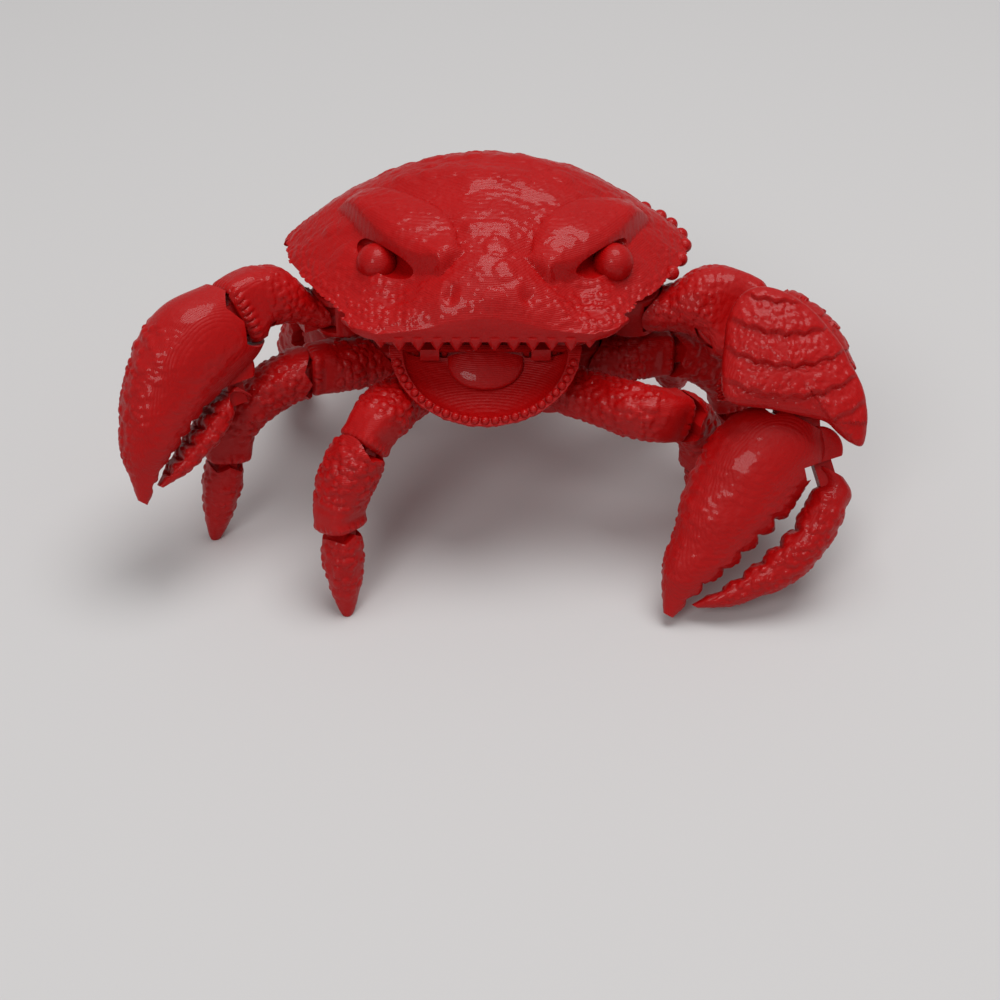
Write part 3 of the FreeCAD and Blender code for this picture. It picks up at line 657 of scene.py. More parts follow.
def limb(ends, heads, sides, stations, halves, end_size, skin, rows=90, count=96):
    """Limb from its root to the lip of its cup.

    Rings on a cubic between two pivots, their half sizes eased between stations of share, half
    width, half height and lift; past the last pivot they draw in to the cup's lip.
    """
    radius, width = end_size
    reach, lip = cup_reach(radius), math.radians(lip_angle)
    table = [(s, w * halves[0], h * halves[1], lift * halves[1]) for s, w, h, lift in stations]
    first = table[0]
    table.insert(0, (first[0] - root_step, first[1] * root_taper, first[2] * root_taper, first[3]))
    table.append((1.0, cup_width(width) / 2, reach, 0.0))
    share = np.linspace(table[0][0], 1.0, rows)
    sizes = eased(table, share)
    point, head = bezier(ends, heads, share)
    wide = across(sides[0] * (1 - share[:, None]) + sides[1] * share[:, None], head)
    high = np.cross(head, wide)
    centre = point + high * sizes[:, 2:3]
    full = limb_fullness + (lip_fullness - limb_fullness) * np.clip((share - 0.7) / 0.3, 0, 1) ** 2
    turn = np.linspace(0, 1, lip_rings + 1)[1:]
    swing = turn * (math.pi / 2 - lip)
    centre = np.concatenate([centre, ends[1] + heads[1] * (reach * np.sin(swing))[:, None]])
    half_wide = np.concatenate([sizes[:, 0], cup_width(width) / 2 - lip_rounding * turn ** 3])
    half_high = np.concatenate([sizes[:, 1], reach * np.cos(swing)])
    wide = np.concatenate([wide, spread(sides[1], lip_rings)])
    high = np.concatenate([high, spread(np.cross(heads[1], sides[1]), lip_rings)])
    full = np.concatenate([full, np.full(lip_rings, lip_fullness)])
    return skin(tube(centre, wide, high, half_wide, half_high, full, count), share)


def pebbled(size, height, seed, beads):
    """Skin of a limb: pebbles that fade towards the cup, and a row of beads along its lip."""
    def skin(grid, share):
        rows, count = grid.shape[:2]
        past = 1 + root_step * np.arange(1, rows - len(share) + 1)
        place = np.concatenate([share, past])[:, None]
        fade = window(place, 0.12, 0.93, 0.1, 0.12)
        bump = (noise_relief(grid, size, height, skin_fill, seed) - skin_sink * height) * fade
        angle = ring_angles(count)[None, :]
        bead = np.sqrt(np.abs(np.sin(angle * beads / 2)))
        side = 0.16 + 0.22 * np.abs(np.cos(angle)) ** 2
        bump = bump + bead * side * np.exp(-((place - bead_place) / bead_spread) ** 2)
        return raised(grid, bump, 2)
    return skin


# Legs

def make_leg(name, looks, material):
    """Three pieces of one leg, worked out from the hip down to the floor."""
    x, y, first, second, last, mouth = leg_poses[name]
    side = -1 if x < 0 else 1
    hip = np.array([x, y, hip_height])
    knee = hip + heading(side, first[1], first[2]) * first[0]
    ankle = knee + heading(side, second[1], second[2]) * second[0]
    tip_head = heading(side, last[0], last[1])
    toe = ankle + tip_head * (ankle[2] / -tip_head[2])
    hip_head, knee_head = heading(side, first[1], 0), heading(side, second[1], mouth)
    hip_side, knee_axis = unit(np.cross(UP, hip_head)), unit(np.cross(UP, knee_head))
    ankle_axis = across(knee_axis, tip_head)
    size, ankle_size = (leg_knuckle, leg_knuckle_width), (ankle_knuckle, ankle_knuckle_width)
    halves = (leg_half_width, leg_half_height)
    grain, lift, seed = looks.pebble_size / MM, looks.pebble_height / MM, sum(map(ord, name))

    base = limb((hip, knee), (hip_head, knee_head), (hip_side, knee_axis), upper_stations, halves, size,
                pebbled(grain, lift, seed, 22))
    steps = root(hip, UP, hip_head, *size) + socket(knee, knee_axis, knee_head, *size)
    carved(name + "_upper", base, steps, material)

    slim = leg_slims.get(name, 1.0)
    stations = middle_stations[:1] + [(s, w * slim, h * slim, up) for s, w, h, up in middle_stations[1:]]
    base = limb((knee, ankle), (knee_head, tip_head), (knee_axis, ankle_axis), stations, halves,
                ankle_size, pebbled(grain, lift, seed + 1, 20))
    steps = root(knee, knee_axis, knee_head, *size, leg_swing)
    carved(name + "_middle", base, steps + socket(ankle, ankle_axis, tip_head, *ankle_size), material)

    rings = 80
    share = np.linspace(tip_shares[0][0], 1, rings)
    grow = eased(tip_shares, share)[:, 0]
    wide, high = (tip_point + (s - tip_point) * grow for s in (tip_half_width, tip_half_height))
    end = toe + tip_head * tip_point
    centre = ankle + (end - ankle) * share[:, None]
    grid = tube(centre, spread(ankle_axis, rings), spread(np.cross(tip_head, ankle_axis), rings),
                wide, high, 2.2, 72)
    fade = window(share, 0.14, 0.92, 0.1, 0.3)[:, None]
    grid = raised(grid, tip_skin * noise_relief(grid, grain, lift, 0.8, seed + 2) * fade, 2)
    below, side = 12.0, 9
    floor = prism(toe - UP * below / 2, UP, AHEAD,
                  [(-side, -side), (side, -side), (side, side), (-side, side)], below)
    steps = [("DIFFERENCE", floor)] + root(ankle, ankle_axis, tip_head, *ankle_size, leg_swing)
    carved(name + "_tip", grid, steps, material)


# Claws

def claw_frame(wrist, point, turn):
    """Directions along a claw, across it towards its finger, and out of its broad side."""
    along = unit(point - wrist)
    broad = turned(across(VIEWER, along), along, turn)
    return along, np.cross(broad, along), broad


def claw_grid(wrist, frame_axes, length, shares, half_thick, rows, count):
    """Rings across a claw piece between its two edges, eased along its table."""
    along, inward, broad = frame_axes
    place = np.linspace(shares[0][0], shares[-1][0], rows)
    low, high, thick = eased(shares, place).T
    centre = (wrist + along * (place * length)[:, None]
              + inward * (claw_width * (low + high) / 2)[:, None])
    grid = tube(centre, spread(inward, rows), spread(broad, rows), claw_width * (high - low) / 2,
                thick * half_thick, claw_fullness, count)
    return grid, place


def edge_teeth(grid, place, side, saw, inward):
    """Blunt teeth on one edge: the edge moves in between them by a rounded comb along the claw."""
    pitch, depth, start, stop = saw
    angle = ring_angles(grid.shape[1])[None, :]
    near = np.clip((side * np.cos(angle) - 0.55) / 0.45, 0, 1) ** 1.3
    comb = np.abs(np.sin(math.pi * place[:, None] * pitch)) ** 0.7
    fade = window(place[:, None], start, stop, saw_ease, saw_ease)
    return grid + inward * (side * depth * near * (comb - saw_sink) * fade)[..., None]


def make_claw(name, wrist, point, axes, tables, hinge_place, wrist_size, mouth, looks, material):
    """Palm with its fixed finger, and the moving finger hinged in the palm's inner edge."""
    along, inward, broad = axes
    length = np.linalg.norm(point - wrist)
    hinge = wrist + along * hinge_place[0] + inward * hinge_place[1]
    out = unit(along + inward)
    size = (finger_knuckle, finger_knuckle_width)
    grain, lift, seed = looks.pebble_size / MM, looks.pebble_height / MM, sum(map(ord, name))

    grid, place = claw_grid(wrist, axes, length, tables[0], claw_thickness / 2, 150, 120)
    grid = edge_teeth(grid, place, 1, palm_saw, inward)
    top = np.clip(np.sin(ring_angles(grid.shape[1])), 0, 1)[None, :]
    near = np.linalg.norm(grid - hinge, axis=-1)
    calm = np.clip((near - 4.2) / 2.5, 0, 1) * window(place[:, None], 0.22, 1, 0.08, 0.12)
    bump = noise_relief(grid, grain, lift, 0.75, seed) * (1 - 0.8 * top) * calm
    grid = raised(grid, bump + 0.22 * lumps(grid, 9.0, seed) * calm, 3)
    palm = [cup(hinge, broad, *size)] + root(wrist, broad, mouth, *wrist_size, arm_swing)
    palm += flat_lip(hinge, broad, out, size[0], *palm_lip) + socket(hinge, broad, out, *size)
    carved(name + "_palm", grid, palm, material)

    away, low, high, thick = finger_root
    start = hinge + out * finger_knuckle * away - wrist
    beside = start @ inward / claw_width
    shares = [(start @ along / length, beside + low, beside + high, thick)] + tables[1]
    grid, place = claw_grid(wrist, axes, length, shares, finger_thickness / 2, 130, 96)
    grid = edge_teeth(grid, place, -1, finger_saw, inward)
    fade = window(place[:, None], shares[1][0], shares[-1][0], 0.12, 0.1)
    grid = raised(grid, finger_skin * noise_relief(grid, grain, lift, 0.8, seed + 5) * fade, 3)
    carved(name + "_finger", grid, root(hinge, broad, out, *size, finger_swing), material)


# Arms

def make_upper_arm(side, name, end, head, axis, halves, end_size, looks, material):
    """Piece from a shoulder on the lower body to the next cup of the arm."""
    shoulder = shoulder_at(side)
    size = (shoulder_knuckle, shoulder_knuckle_width)
    out = level_way(shoulder, end)
    grain, lift = looks.pebble_size / MM, looks.pebble_height / MM
    base = limb((shoulder, end), (out, head), (np.cross(UP, out), axis * -side), arm_stations, halves,
                end_size, pebbled(grain, lift * 0.6, 11 + side, 30), 110, 120)
    steps = root(shoulder, UP, out, *size) + socket(end, axis, head, *end_size)
    carved(name + "_upper", base, steps, material)


def make_left_arm(looks, material):
    """Upper piece, palm and finger of the left arm."""
    axes = claw_frame(left_wrist, left_claw_point, left_claw_turn)
    broad = axes[2]
    mouth = across(unit(left_wrist - shoulder_at(-1)) + axes[0], broad)
    size = (left_wrist_knuckle, wrist_width)
    make_upper_arm(-1, "left_arm", left_wrist, mouth, broad, left_arm_half, size, looks, material)
    make_claw("left_claw", left_wrist, left_claw_point, axes, (left_palm_shares, left_finger_shares),
              left_finger_hinge, size, mouth, looks, material)


def right_axes():
    """Directions of the right claw, then level and rising directions square to its broad side."""
    axes = claw_frame(right_wrist, right_claw_point, right_claw_turn)
    level = across(RIGHT, axes[2])
    return axes, level, np.cross(axes[2], level)


def forearm_grid():
    """Rings turned about a point inside the elbow, sized by a table along the turn."""
    axes, level, rise = right_axes()
    broad = axes[2]
    middle = right_wrist - level * forearm_bend_place[0] - rise * forearm_bend_place[1]
    start = right_elbow - middle
    drift, turn = start @ broad, math.atan2(start @ rise, start @ level)
    share = np.linspace(forearm_shares[0][0], forearm_shares[-1][0], forearm_rings)
    reach, half_high, half_wide = eased(forearm_shares, share).T
    angle = turn * share[:, None]
    out = level * np.cos(angle) + rise * np.sin(angle)
    centre = middle + out * (forearm_reach * reach)[:, None] + broad * (drift * share)[:, None]
    grid = tube(centre, spread(broad, forearm_rings), out, forearm_half_width * half_wide,
                forearm_reach * half_high, 2.8, 144)
    return grid, share


def make_right_arm(looks, material):
    """Upper piece, scaly forearm with its cap, palm and finger of the right arm."""
    axes, level, rise = right_axes()
    broad = axes[2]
    elbow_head = turned(level, broad, right_elbow_turn)
    mouth = turned(level, broad, right_wrist_turn)
    elbow_size, wrist_size = (elbow_knuckle, elbow_width), (right_wrist_knuckle, wrist_width)
    make_upper_arm(1, "right_arm", right_elbow, elbow_head, broad, right_arm_half, elbow_size, looks,
                   material)

    grid, share = forearm_grid()
    angle = ring_angles(grid.shape[1])[None, :]
    along = (share.max() - share)[:, None] / (share.max() - share.min())
    scales = shingles(along, angle / (2 * math.pi), scale_rows, scale_columns)
    fade = window(along, 0.06, 0.985, 0.06, 0.03)
    bump = (scale_height * scales + noise_relief(grid, *forearm_skin)) * fade - scale_sink
    bead = (np.sqrt(np.abs(np.sin(angle * forearm_beads / 2)))
            * np.exp(-((along - 0.965) / 0.02) ** 2))
    grid = raised(grid, bump + 0.4 * bead, 2)
    steps = socket(right_wrist, broad, mouth, *wrist_size)
    steps += flat_lip(right_wrist, broad, mouth, wrist_size[0], *forearm_lip)
    steps += root(right_elbow, broad, elbow_head, *elbow_size, arm_swing)
    steps += [("UNION", cap_grid(right_wrist, (level, rise, broad), np.array(cap_outline)))]
    carved("right_arm_forearm", grid, steps, material)
    make_claw("right_claw", right_wrist, right_claw_point, axes,
              (right_palm_shares, right_finger_shares), right_finger_hinge, wrist_size, mouth, looks,
              material)


def smooth_outline(points, count):
    """Closed curve through points: the cubic between neighbours with chord slopes."""
    share = np.arange(count) / count * len(points)
    k = share.astype(int) % len(points)
    t = (share - np.floor(share))[:, None]
    p0, p1, p2, p3 = (points[(k + i) % len(points)] for i in (-1, 0, 1, 2))
    return 0.5 * (2 * p1 + (p2 - p0) * t + (2 * p0 - 5 * p1 + 4 * p2 - p3) * t ** 2
                  + (3 * p1 - p0 - 3 * p2 + p3) * t ** 3)


def cap_grid(centre, axes3, outline, rows=60, count=260):
    """Domed cap over a smooth outline: flat inside, rounded rim, scale rows raised across its top.

    The top rises over a share g of the outline as the power 0.4 of 1 - g^2; each scale row is a
    saw along the rise, bent down at its sides and scalloped along the level.
    """
    level, rise, broad = axes3
    edge = smooth_outline(outline, count)
    heart = edge.mean(0)
    down = np.linspace(0.2, 1, 6)
    turn = np.linspace(0, math.pi / 2, rows)
    grow = np.concatenate([down * 0.985, [1.0], np.cos(turn)[1:]])
    dome = cap_inside + 0.6 + (cap_outside - cap_inside - 0.6) * np.sin(turn)[1:] ** 0.8
    high = np.concatenate([np.full(6, cap_inside), [cap_inside + 0.3], dome])
    flat = heart + (edge - heart)[None] * grow[:, None, None]
    lvl, up = flat[..., 0], flat[..., 1]
    row = (cap_top - up + cap_bend * (lvl + 2.0) ** 2) / cap_pitch
    scallop = 0.10 * np.abs(np.sin(lvl * 1.25 + np.floor(row) * 1.6))
    step = (row + scallop) % 1.0
    top = np.concatenate([np.zeros(7), np.sin(turn)[1:] ** 0.35])[:, None]
    saw = np.where(step < cap_crest, step / cap_crest, (1 - step) / (1 - cap_crest))
    scale = cap_scale_height * saw ** 0.8
    grid = centre + level * lvl[..., None] + rise * up[..., None] + broad * high[:, None, None]
    bump = scale * (up > -6.5) + noise_relief(grid, *cap_skin)
    return grid + broad * (bump * top)[..., None]


# Shell, lower body and jaw

def shell_half(y):
    """Half width and crest share of the shell at distances along it."""
    place = (np.asarray(y, float) - shell_shift) / shell_length + 0.5
    found = eased(shell_shares, np.clip(place, 0, 1))
    return found[:, 0] * shell_width / 2, found[:, 1]


def visor(x, y, side):
    """Raised brow: a leaf behind a bowed line, standing over the face at its front edge.

    Across the leaf the height climbs a quarter sine from the edge and falls away to the back; the
    leaf is widest towards the snout and both its ends are rounded.
    """
    place = np.stack([side * (x - face_shift), y], axis=-1) - np.array(visor_outer)
    line = np.array(visor_inner) - np.array(visor_outer)
    length = np.linalg.norm(line)
    along = line / length
    inside = place @ along / length
    share = np.clip(inside, 0, 1)
    bow = visor_bow * np.sin(math.pi * share ** 1.2)
    behind = place @ np.array([along[1], -along[0]]) + bow
    width = visor_width * (0.5 + 0.5 * np.sin(math.pi * share ** 1.5))
    back = np.clip(behind / width, 0, 1)
    climb = 0.75 + 0.25 * np.sin(math.pi / 2 * np.clip(back / 0.25, 0, 1))
    fall = 0.55 * (1 - back) ** 1.25 + 0.45 * np.sqrt(1 - back ** 2.5)
    ends = np.clip((inside + 0.02) / 0.3, 0, 1) * np.clip((1.05 - inside) / 0.1, 0, 1) ** 0.6
    ends = ends * (2 - ends)
    return visor_rise * np.clip(behind / 0.35, 0, 1) * climb * fall * ends


def shell_grid(rows=280, columns=230):
    """Closed sections across the shell: a parabola dome over a rim, with snout and brows raised."""
    place = 0.5 - 0.5 * np.cos(np.linspace(0, math.pi, rows))
    place = 0.4 * place + 0.6 * np.linspace(0, 1, rows)
    y = shell_shift + shell_length * (place - 0.5)
    half, crest = shell_half(y)
    share = np.linspace(-1, 1, columns)
    x = half[:, None] * np.sin(share * math.pi / 2)[None, :]
    depth = np.broadcast_to(y[:, None], x.shape)
    far = x ** 2 + (y[:, None] + snout_forward) ** 2
    near = np.clip(1 - far / (snout_spread * snout_radius) ** 2, 0, 1)
    dome = crest[:, None] * shell_dome * (1 - (x / half[:, None]) ** 2)
    z = shell_floor + shell_rim + dome + snout_lift * snout_rise * near ** 1.6
    top = np.stack([x, depth, z], axis=-1)
    for side in (-1, 1):
        for cx, cy, radius, deep in face_hollows:
            far = np.hypot(x - face_shift * hollow_shift - side * cx, depth - cy) / radius
            top[..., 2] -= deep * np.exp(-far ** 2)
        for cx, cy, radius, high in face_swells:
            far = np.hypot(x - side * cx, depth - cy) / radius
            top[..., 2] += high * np.exp(-far ** 2)
    brows = visor(x, depth, -1) + visor(x, depth, 1)
    top[..., 2] += brows
    front = np.clip((0.36 - place[:, None]) / 0.2, 0, 1) * np.ones_like(x)
    cheek = front * np.clip((np.abs(x) - 7.0) / 2.5, 0, 1) * (brows < 0.1)
    rim = np.clip((np.abs(x) / half[:, None] - 0.80) / 0.12, 0, 1)
    calm = np.clip(np.minimum(place, 1 - place) / 0.01, 0, 1)[:, None]
    bump = noise_relief(top, *cheek_skin) * np.maximum(cheek, 0.8 * rim)
    waves = shell_swell[0] * lumps(top, *shell_swell[1:])
    bump = bump + waves * (1 - cheek) * np.clip(crest[:, None] - 0.15, 0, 1)
    warts = shell_warts[0] * pebbles(top, *shell_warts[1:])
    bump = bump + warts * (1 - cheek) * (1 - rim) * (brows < 0.3)
    bump = bump + shell_grain[0] * pebbles(top, *shell_grain[1:]) * (1 - cheek)
    top[..., 2] += bump * calm
    under = np.linspace(1, -1, 41)[1:-1]
    low = np.stack([half[:, None] * under, np.broadcast_to(y[:, None], (rows, 39)),
                    np.full((rows, 39), shell_floor)], axis=-1)
    sides = np.linspace(0, 1, 8)[1:-1]
    swell = 0.35 * np.sin(math.pi * sides)[None, :, None] * RIGHT
    right = top[:, -1:] * (1 - sides[None, :, None]) + low[:, :1] * sides[None, :, None] + swell
    left = low[:, -1:] * (1 - sides[None, :, None]) + top[:, :1] * sides[None, :, None] - swell
    return np.concatenate([top, right, low, left], axis=1)


def tooth_grid(x, y):
    """Pointed tooth: a circle that shrinks on a curve as it hangs down and forward."""
    share = np.linspace(0, 1, tooth_rings)
    size = (1 - share ** 1.5) * (1 - tooth_tip) + tooth_tip
    top = np.array([x, y + tooth_back, shell_floor + tooth_root])
    centre = top + np.outer(share, [0, -tooth_lean, -(tooth_depth + tooth_root)])
    return tube(centre, spread(RIGHT, tooth_rings), spread(AHEAD, tooth_rings),
                size * tooth_half[0], size * tooth_half[1], 2.2, 24)


def make_shell(material):
    """Upper shell with its brows over hollowed sockets, eyes, teeth, rim knobs and arm arches."""
    steps = []
    for side in (-1, 1):
        arch = rod(shoulder_at(side, shell_floor), UP, arch_radius, arch_cutter_height, 0.2, 96)
        steps.append(("DIFFERENCE", arch))
        line = np.array(visor_inner) - np.array(visor_outer)
        along = unit(np.array([side * line[0], line[1], -1.0]))
        behind = across(np.array([-side * 0.77, 0.64, 0.0]), along)
        ways = (along, behind, np.cross(along, behind))
        hollow = np.array([side * socket_place[0] + face_shift, *socket_place[1:]])
        steps.append(("DIFFERENCE", egg(hollow, ways, socket_radii, 36, 56)))
        eye = np.array([side * eye_place[0] + face_shift, *eye_place[1:]])
        steps.append(("UNION", ball(eye, eye_radius, 40, 64)))
    front = shell_shift - shell_length / 2
    places = (np.arange(tooth_count) - (tooth_count - 1) / 2) * tooth_pitch
    teeth = [tooth_grid(x, front + max(0.0, abs(x) - 11.5) * 0.3) for x in places]
    steps += [("UNION", teeth[::2]), ("UNION", teeth[1::2])]
    half = shell_half(rim_knobs)[0]
    level = np.full(len(rim_knobs), shell_floor + knob_lift)
    places = np.stack([half - knob_sink, rim_knobs, level], axis=-1)
    steps.append(("UNION", [ball(p, knob_radius, 18, 28) for p in places]))
    carved("carapace", shell_grid(), steps, material, "body")


def outline_radius(points, angle):
    """Distance of a closed outline from its middle, by angle, eased between its corners."""
    points = np.array(points)
    turn = np.arctan2(points[:, 1], points[:, 0])
    order = np.argsort(turn)
    turn, far = turn[order], np.hypot(points[:, 0], points[:, 1])[order]
    table = np.column_stack([np.concatenate([turn[-2:] - 2 * math.pi, turn, turn[:2] + 2 * math.pi]),
                             np.concatenate([far[-2:], far, far[:2]])])
    return eased(table, angle)[:, 0]


def make_underbody(material):
    """Lower body: outlines at five heights eased into one another, with the cups of the limbs."""
    waist = [(pose[0] * waist_inset, pose[1] * waist_inset) for pose in leg_poses.values()]
    top = [(side * core_half_width * a, shell_length * b) for a, b in core_shares for side in (-1, 1)]
    angle = (ring_angles(144) + math.pi) % (2 * math.pi) - math.pi
    low_far, top_far = outline_radius(waist, angle), outline_radius(top, angle)
    shelf = shoulder_height - cup_width(shoulder_knuckle_width) / 2
    heights = [belly_height, belly_height + 0.4, belly_height + cheek_wall, waist_height - 1,
               waist_height, shelf + cheek_wall, shell_floor]
    mix = np.array([0, 0, 0, 0, 0, 1, 1.0])
    grow = np.array([0.84, 0.92, 1.0, 1.0, 1.0, 1.0, 1.0])
    z = np.linspace(belly_height, shell_floor, 70)
    amount = np.interp(z, heights, mix)[:, None]
    far = (low_far * (1 - amount) + top_far * amount) * np.interp(z, heights, grow)[:, None]
    level = np.broadcast_to(z[:, None], far.shape)
    grid = np.stack([far * np.cos(angle), far * np.sin(angle), level], -1)
    steps, hollows = [], []
    leg_size = (leg_knuckle, leg_knuckle_width)
    for pose in leg_poses.values():
        hip = np.array([pose[0], pose[1], hip_height])
        steps.append(cup(hip, UP, *leg_size))
        hollows += socket(hip, UP, heading(-1 if pose[0] < 0 else 1, pose[2][1], 0), *leg_size)
    for side, end in ((-1, left_wrist), (1, right_elbow)):
        shoulder = shoulder_at(side)
        out = level_way(shoulder, end)
        steps.append(cup(shoulder, UP, shoulder_knuckle, shoulder_knuckle_width))
        hollows += socket(shoulder, UP, out, shoulder_knuckle, shoulder_knuckle_width)
        hinge = jaw_hinge + RIGHT * (side * jaw_hinge_spread)
        steps.append(cup(hinge, RIGHT, jaw_knuckle, jaw_knuckle_width))
        hollows += socket(hinge, RIGHT, AHEAD, jaw_knuckle, jaw_knuckle_width)
    carved("underbody", grid, steps + hollows, material, "body")


def bowl_grid(half, reach, deep, rows=48, count=144, power=2.4):
    """Half round bowl: a half ellipse with a flat back, shrinking on a curve as it goes down."""
    share = np.linspace(0, 1, rows)
    size = (1 - (0.97 * share) ** power) ** (1 / power)
    turn = np.linspace(0, math.pi, 2 * count // 3)
    arc = np.stack([np.cos(turn), -np.sin(turn)], axis=-1)
    back = np.stack([np.linspace(-1, 1, count // 3 + 2)[1:-1], np.zeros(count // 3)], axis=-1)
    outline = np.concatenate([arc, back])
    flat = outline[None] * size[:, None, None] * np.array([half, reach])
    flat[..., 1] -= 0.25 * reach * (1 - size)[:, None] ** 1.5
    drop = np.broadcast_to(-(deep * share)[:, None, None], flat.shape[:2] + (1,))
    return np.concatenate([flat, drop], -1)


def make_jaw(material):
    """Bowl of the lower jaw with its tongue and the beads along its rim, on two knuckles."""
    hinge = jaw_hinge
    stand = cup_reach(jaw_knuckle) + clearance
    move = hinge + AHEAD * stand + UP * (jaw_knuckle * neck_share)

    def placed(grid):
        a = math.radians(jaw_tilt)
        y = grid[..., 1] * math.cos(a) - grid[..., 2] * math.sin(a)
        z = grid[..., 1] * math.sin(a) + grid[..., 2] * math.cos(a)
        return np.stack([grid[..., 0], y, z], -1) + move

    outer = bowl_grid(jaw_half_width, jaw_reach, jaw_depth)
    outer = raised(outer, noise_relief(outer, *jaw_skin), 2)
    inner = bowl_grid(jaw_half_width - jaw_wall, jaw_reach - jaw_wall, jaw_depth - 1.0)
    inner = inner + np.array([0, -0.7, 0.02])
    lift = inner[:1] + UP * 1.5
    share = np.linspace(-1, 1, tongue_rings)
    middle = np.array([0, -jaw_reach * tongue_share, -jaw_depth * 0.55])
    size = tongue_radius * np.sqrt(np.maximum(0.002, 1 - share ** 2))
    tongue = tube(middle + UP * (share * tongue_rise)[:, None], spread(RIGHT, tongue_rings),
                  spread(AHEAD, tongue_rings), size, size * 0.8, 2.2, 64)
    turn = np.linspace(rim_bead_start, math.pi - rim_bead_start, rim_bead_count)
    wide, deep = jaw_half_width - rim_bead_inset, jaw_reach - rim_bead_inset
    beads = [ball(np.array([wide * math.cos(t), -deep * math.sin(t), 0.05]), rim_bead_radius, 14, 20)
             for t in turn]
    steps = [("DIFFERENCE", placed(np.concatenate([lift, inner]))), ("UNION", placed(tongue)),
             ("UNION", [placed(b) for b in beads])]
    for side in (-1, 1):
        pivot = hinge + RIGHT * (side * jaw_hinge_spread)
        steps += root(pivot, RIGHT, AHEAD, jaw_knuckle, jaw_knuckle_width)
    carved("lower_jaw", placed(outer), steps, material)


# Material

def new_group(name, sockets):
    """Empty shader group with float, vector or colour sockets."""
    group = bpy.data.node_groups.new(name, "ShaderNodeTree")
    for way, label, kind in sockets:
        group.interface.new_socket(label, in_out=way, socket_type=kind)
    return group, group.nodes.new("NodeGroupInput"), group.nodes.new("NodeGroupOutput")


def wired(tree, node, inputs):
    """A node with its inputs set to values or linked to the outputs of other nodes."""
    for label, value in inputs.items():
        if isinstance(value, bpy.types.NodeSocket):
            tree.links.new(value, node.inputs[label])
        else:
            node.inputs[label].default_value = value
    return node


def worked_out(tree, operation, *inputs):
    """Result of one sum on inputs in their order."""
    node = tree.nodes.new("ShaderNodeMath")
    node.operation = operation
    return wired(tree, node, dict(enumerate(inputs))).outputs[0]


def cloud(tree, vector, scale, detail=2.0):
    """Soft noise of a scale."""
    node = tree.nodes.new("ShaderNodeTexNoise")
    return wired(tree, node, {"Vector": vector, "Scale": scale, "Detail": detail}).outputs["Fac"]


def layer_group():
    """Height of the printed layers: the root of a saw up and down along Z, one hump a layer."""
    group, given, out = new_group("printed_layers", [
        ("INPUT", "Vector", "NodeSocketVector"), ("INPUT", "Layer", "NodeSocketFloat"),
        ("OUTPUT", "Height", "NodeSocketFloat")])
    parts = wired(group, group.nodes.new("ShaderNodeSeparateXYZ"), {0: given.outputs["Vector"]})
    turns = worked_out(group, "DIVIDE", parts.outputs["Z"], given.outputs["Layer"])
    saw = worked_out(group, "PINGPONG", turns, 0.5)
    wired(group, out, {"Height": worked_out(group, "POWER", saw, 0.5)})
    return group


def tone_group():
    """Plastic's tone: a soft cloud that mixes a fuller and a paler colour, and a gloss mask."""
    group, given, out = new_group("plastic_tone", [
        ("INPUT", "Vector", "NodeSocketVector"), ("INPUT", "Full", "NodeSocketColor"),
        ("INPUT", "Pale", "NodeSocketColor"), ("INPUT", "Roughness", "NodeSocketFloat"),
        ("OUTPUT", "Color", "NodeSocketColor"), ("OUTPUT", "Roughness", "NodeSocketFloat")])
    vector = given.outputs["Vector"]
    mix = group.nodes.new("ShaderNodeMix")
    mix.data_type = "RGBA"
    wired(group, mix, {"Factor": cloud(group, vector, tone_scale, 4.0), "A": given.outputs["Full"],
                       "B": given.outputs["Pale"]})
    gloss = worked_out(group, "MULTIPLY_ADD", cloud(group, vector, gloss_scale), gloss_range,
                       given.outputs["Roughness"])
    wired(group, out, {"Color": mix.outputs["Result"], "Roughness": gloss})
    return group


def plastic(name, build_way, looks, groups):
    """Printed red plastic whose layers lie square to a direction."""
    material = bpy.data.materials.new(name)
    material.use_nodes = True
    tree = material.node_tree
    place = tree.nodes.new("ShaderNodeTexCoord").outputs["Object"]
    x, y, z = build_way
    turn = wired(tree, tree.nodes.new("ShaderNodeMapping"), {
        "Vector": place, "Rotation": (math.atan2(y, z), math.atan2(-x, math.hypot(y, z)), 0)})
    layers, tone = tree.nodes.new("ShaderNodeGroup"), tree.nodes.new("ShaderNodeGroup")
    layers.node_tree, tone.node_tree = groups
    wired(tree, layers, {"Vector": turn.outputs[0], "Layer": looks.layer_height})
    wired(tree, tone, {"Vector": place, "Full": (*looks.full_colour, 1),
                       "Pale": (*looks.pale_colour, 1), "Roughness": looks.roughness})
    groove = wired(tree, tree.nodes.new("ShaderNodeBump"), {
        "Distance": looks.layer_depth, "Strength": 1.0, "Height": layers.outputs["Height"]})
    blister = wired(tree, tree.nodes.new("ShaderNodeBump"), {
        "Distance": looks.blister_depth, "Height": cloud(tree, place, blister_scale),
        "Normal": groove.outputs["Normal"]})
    wired(tree, tree.nodes["Principled BSDF"], {
        **plastic_shader, "Base Color": tone.outputs["Color"],
        "Roughness": tone.outputs["Roughness"], "Normal": blister.outputs["Normal"]})
    return material


# Stage

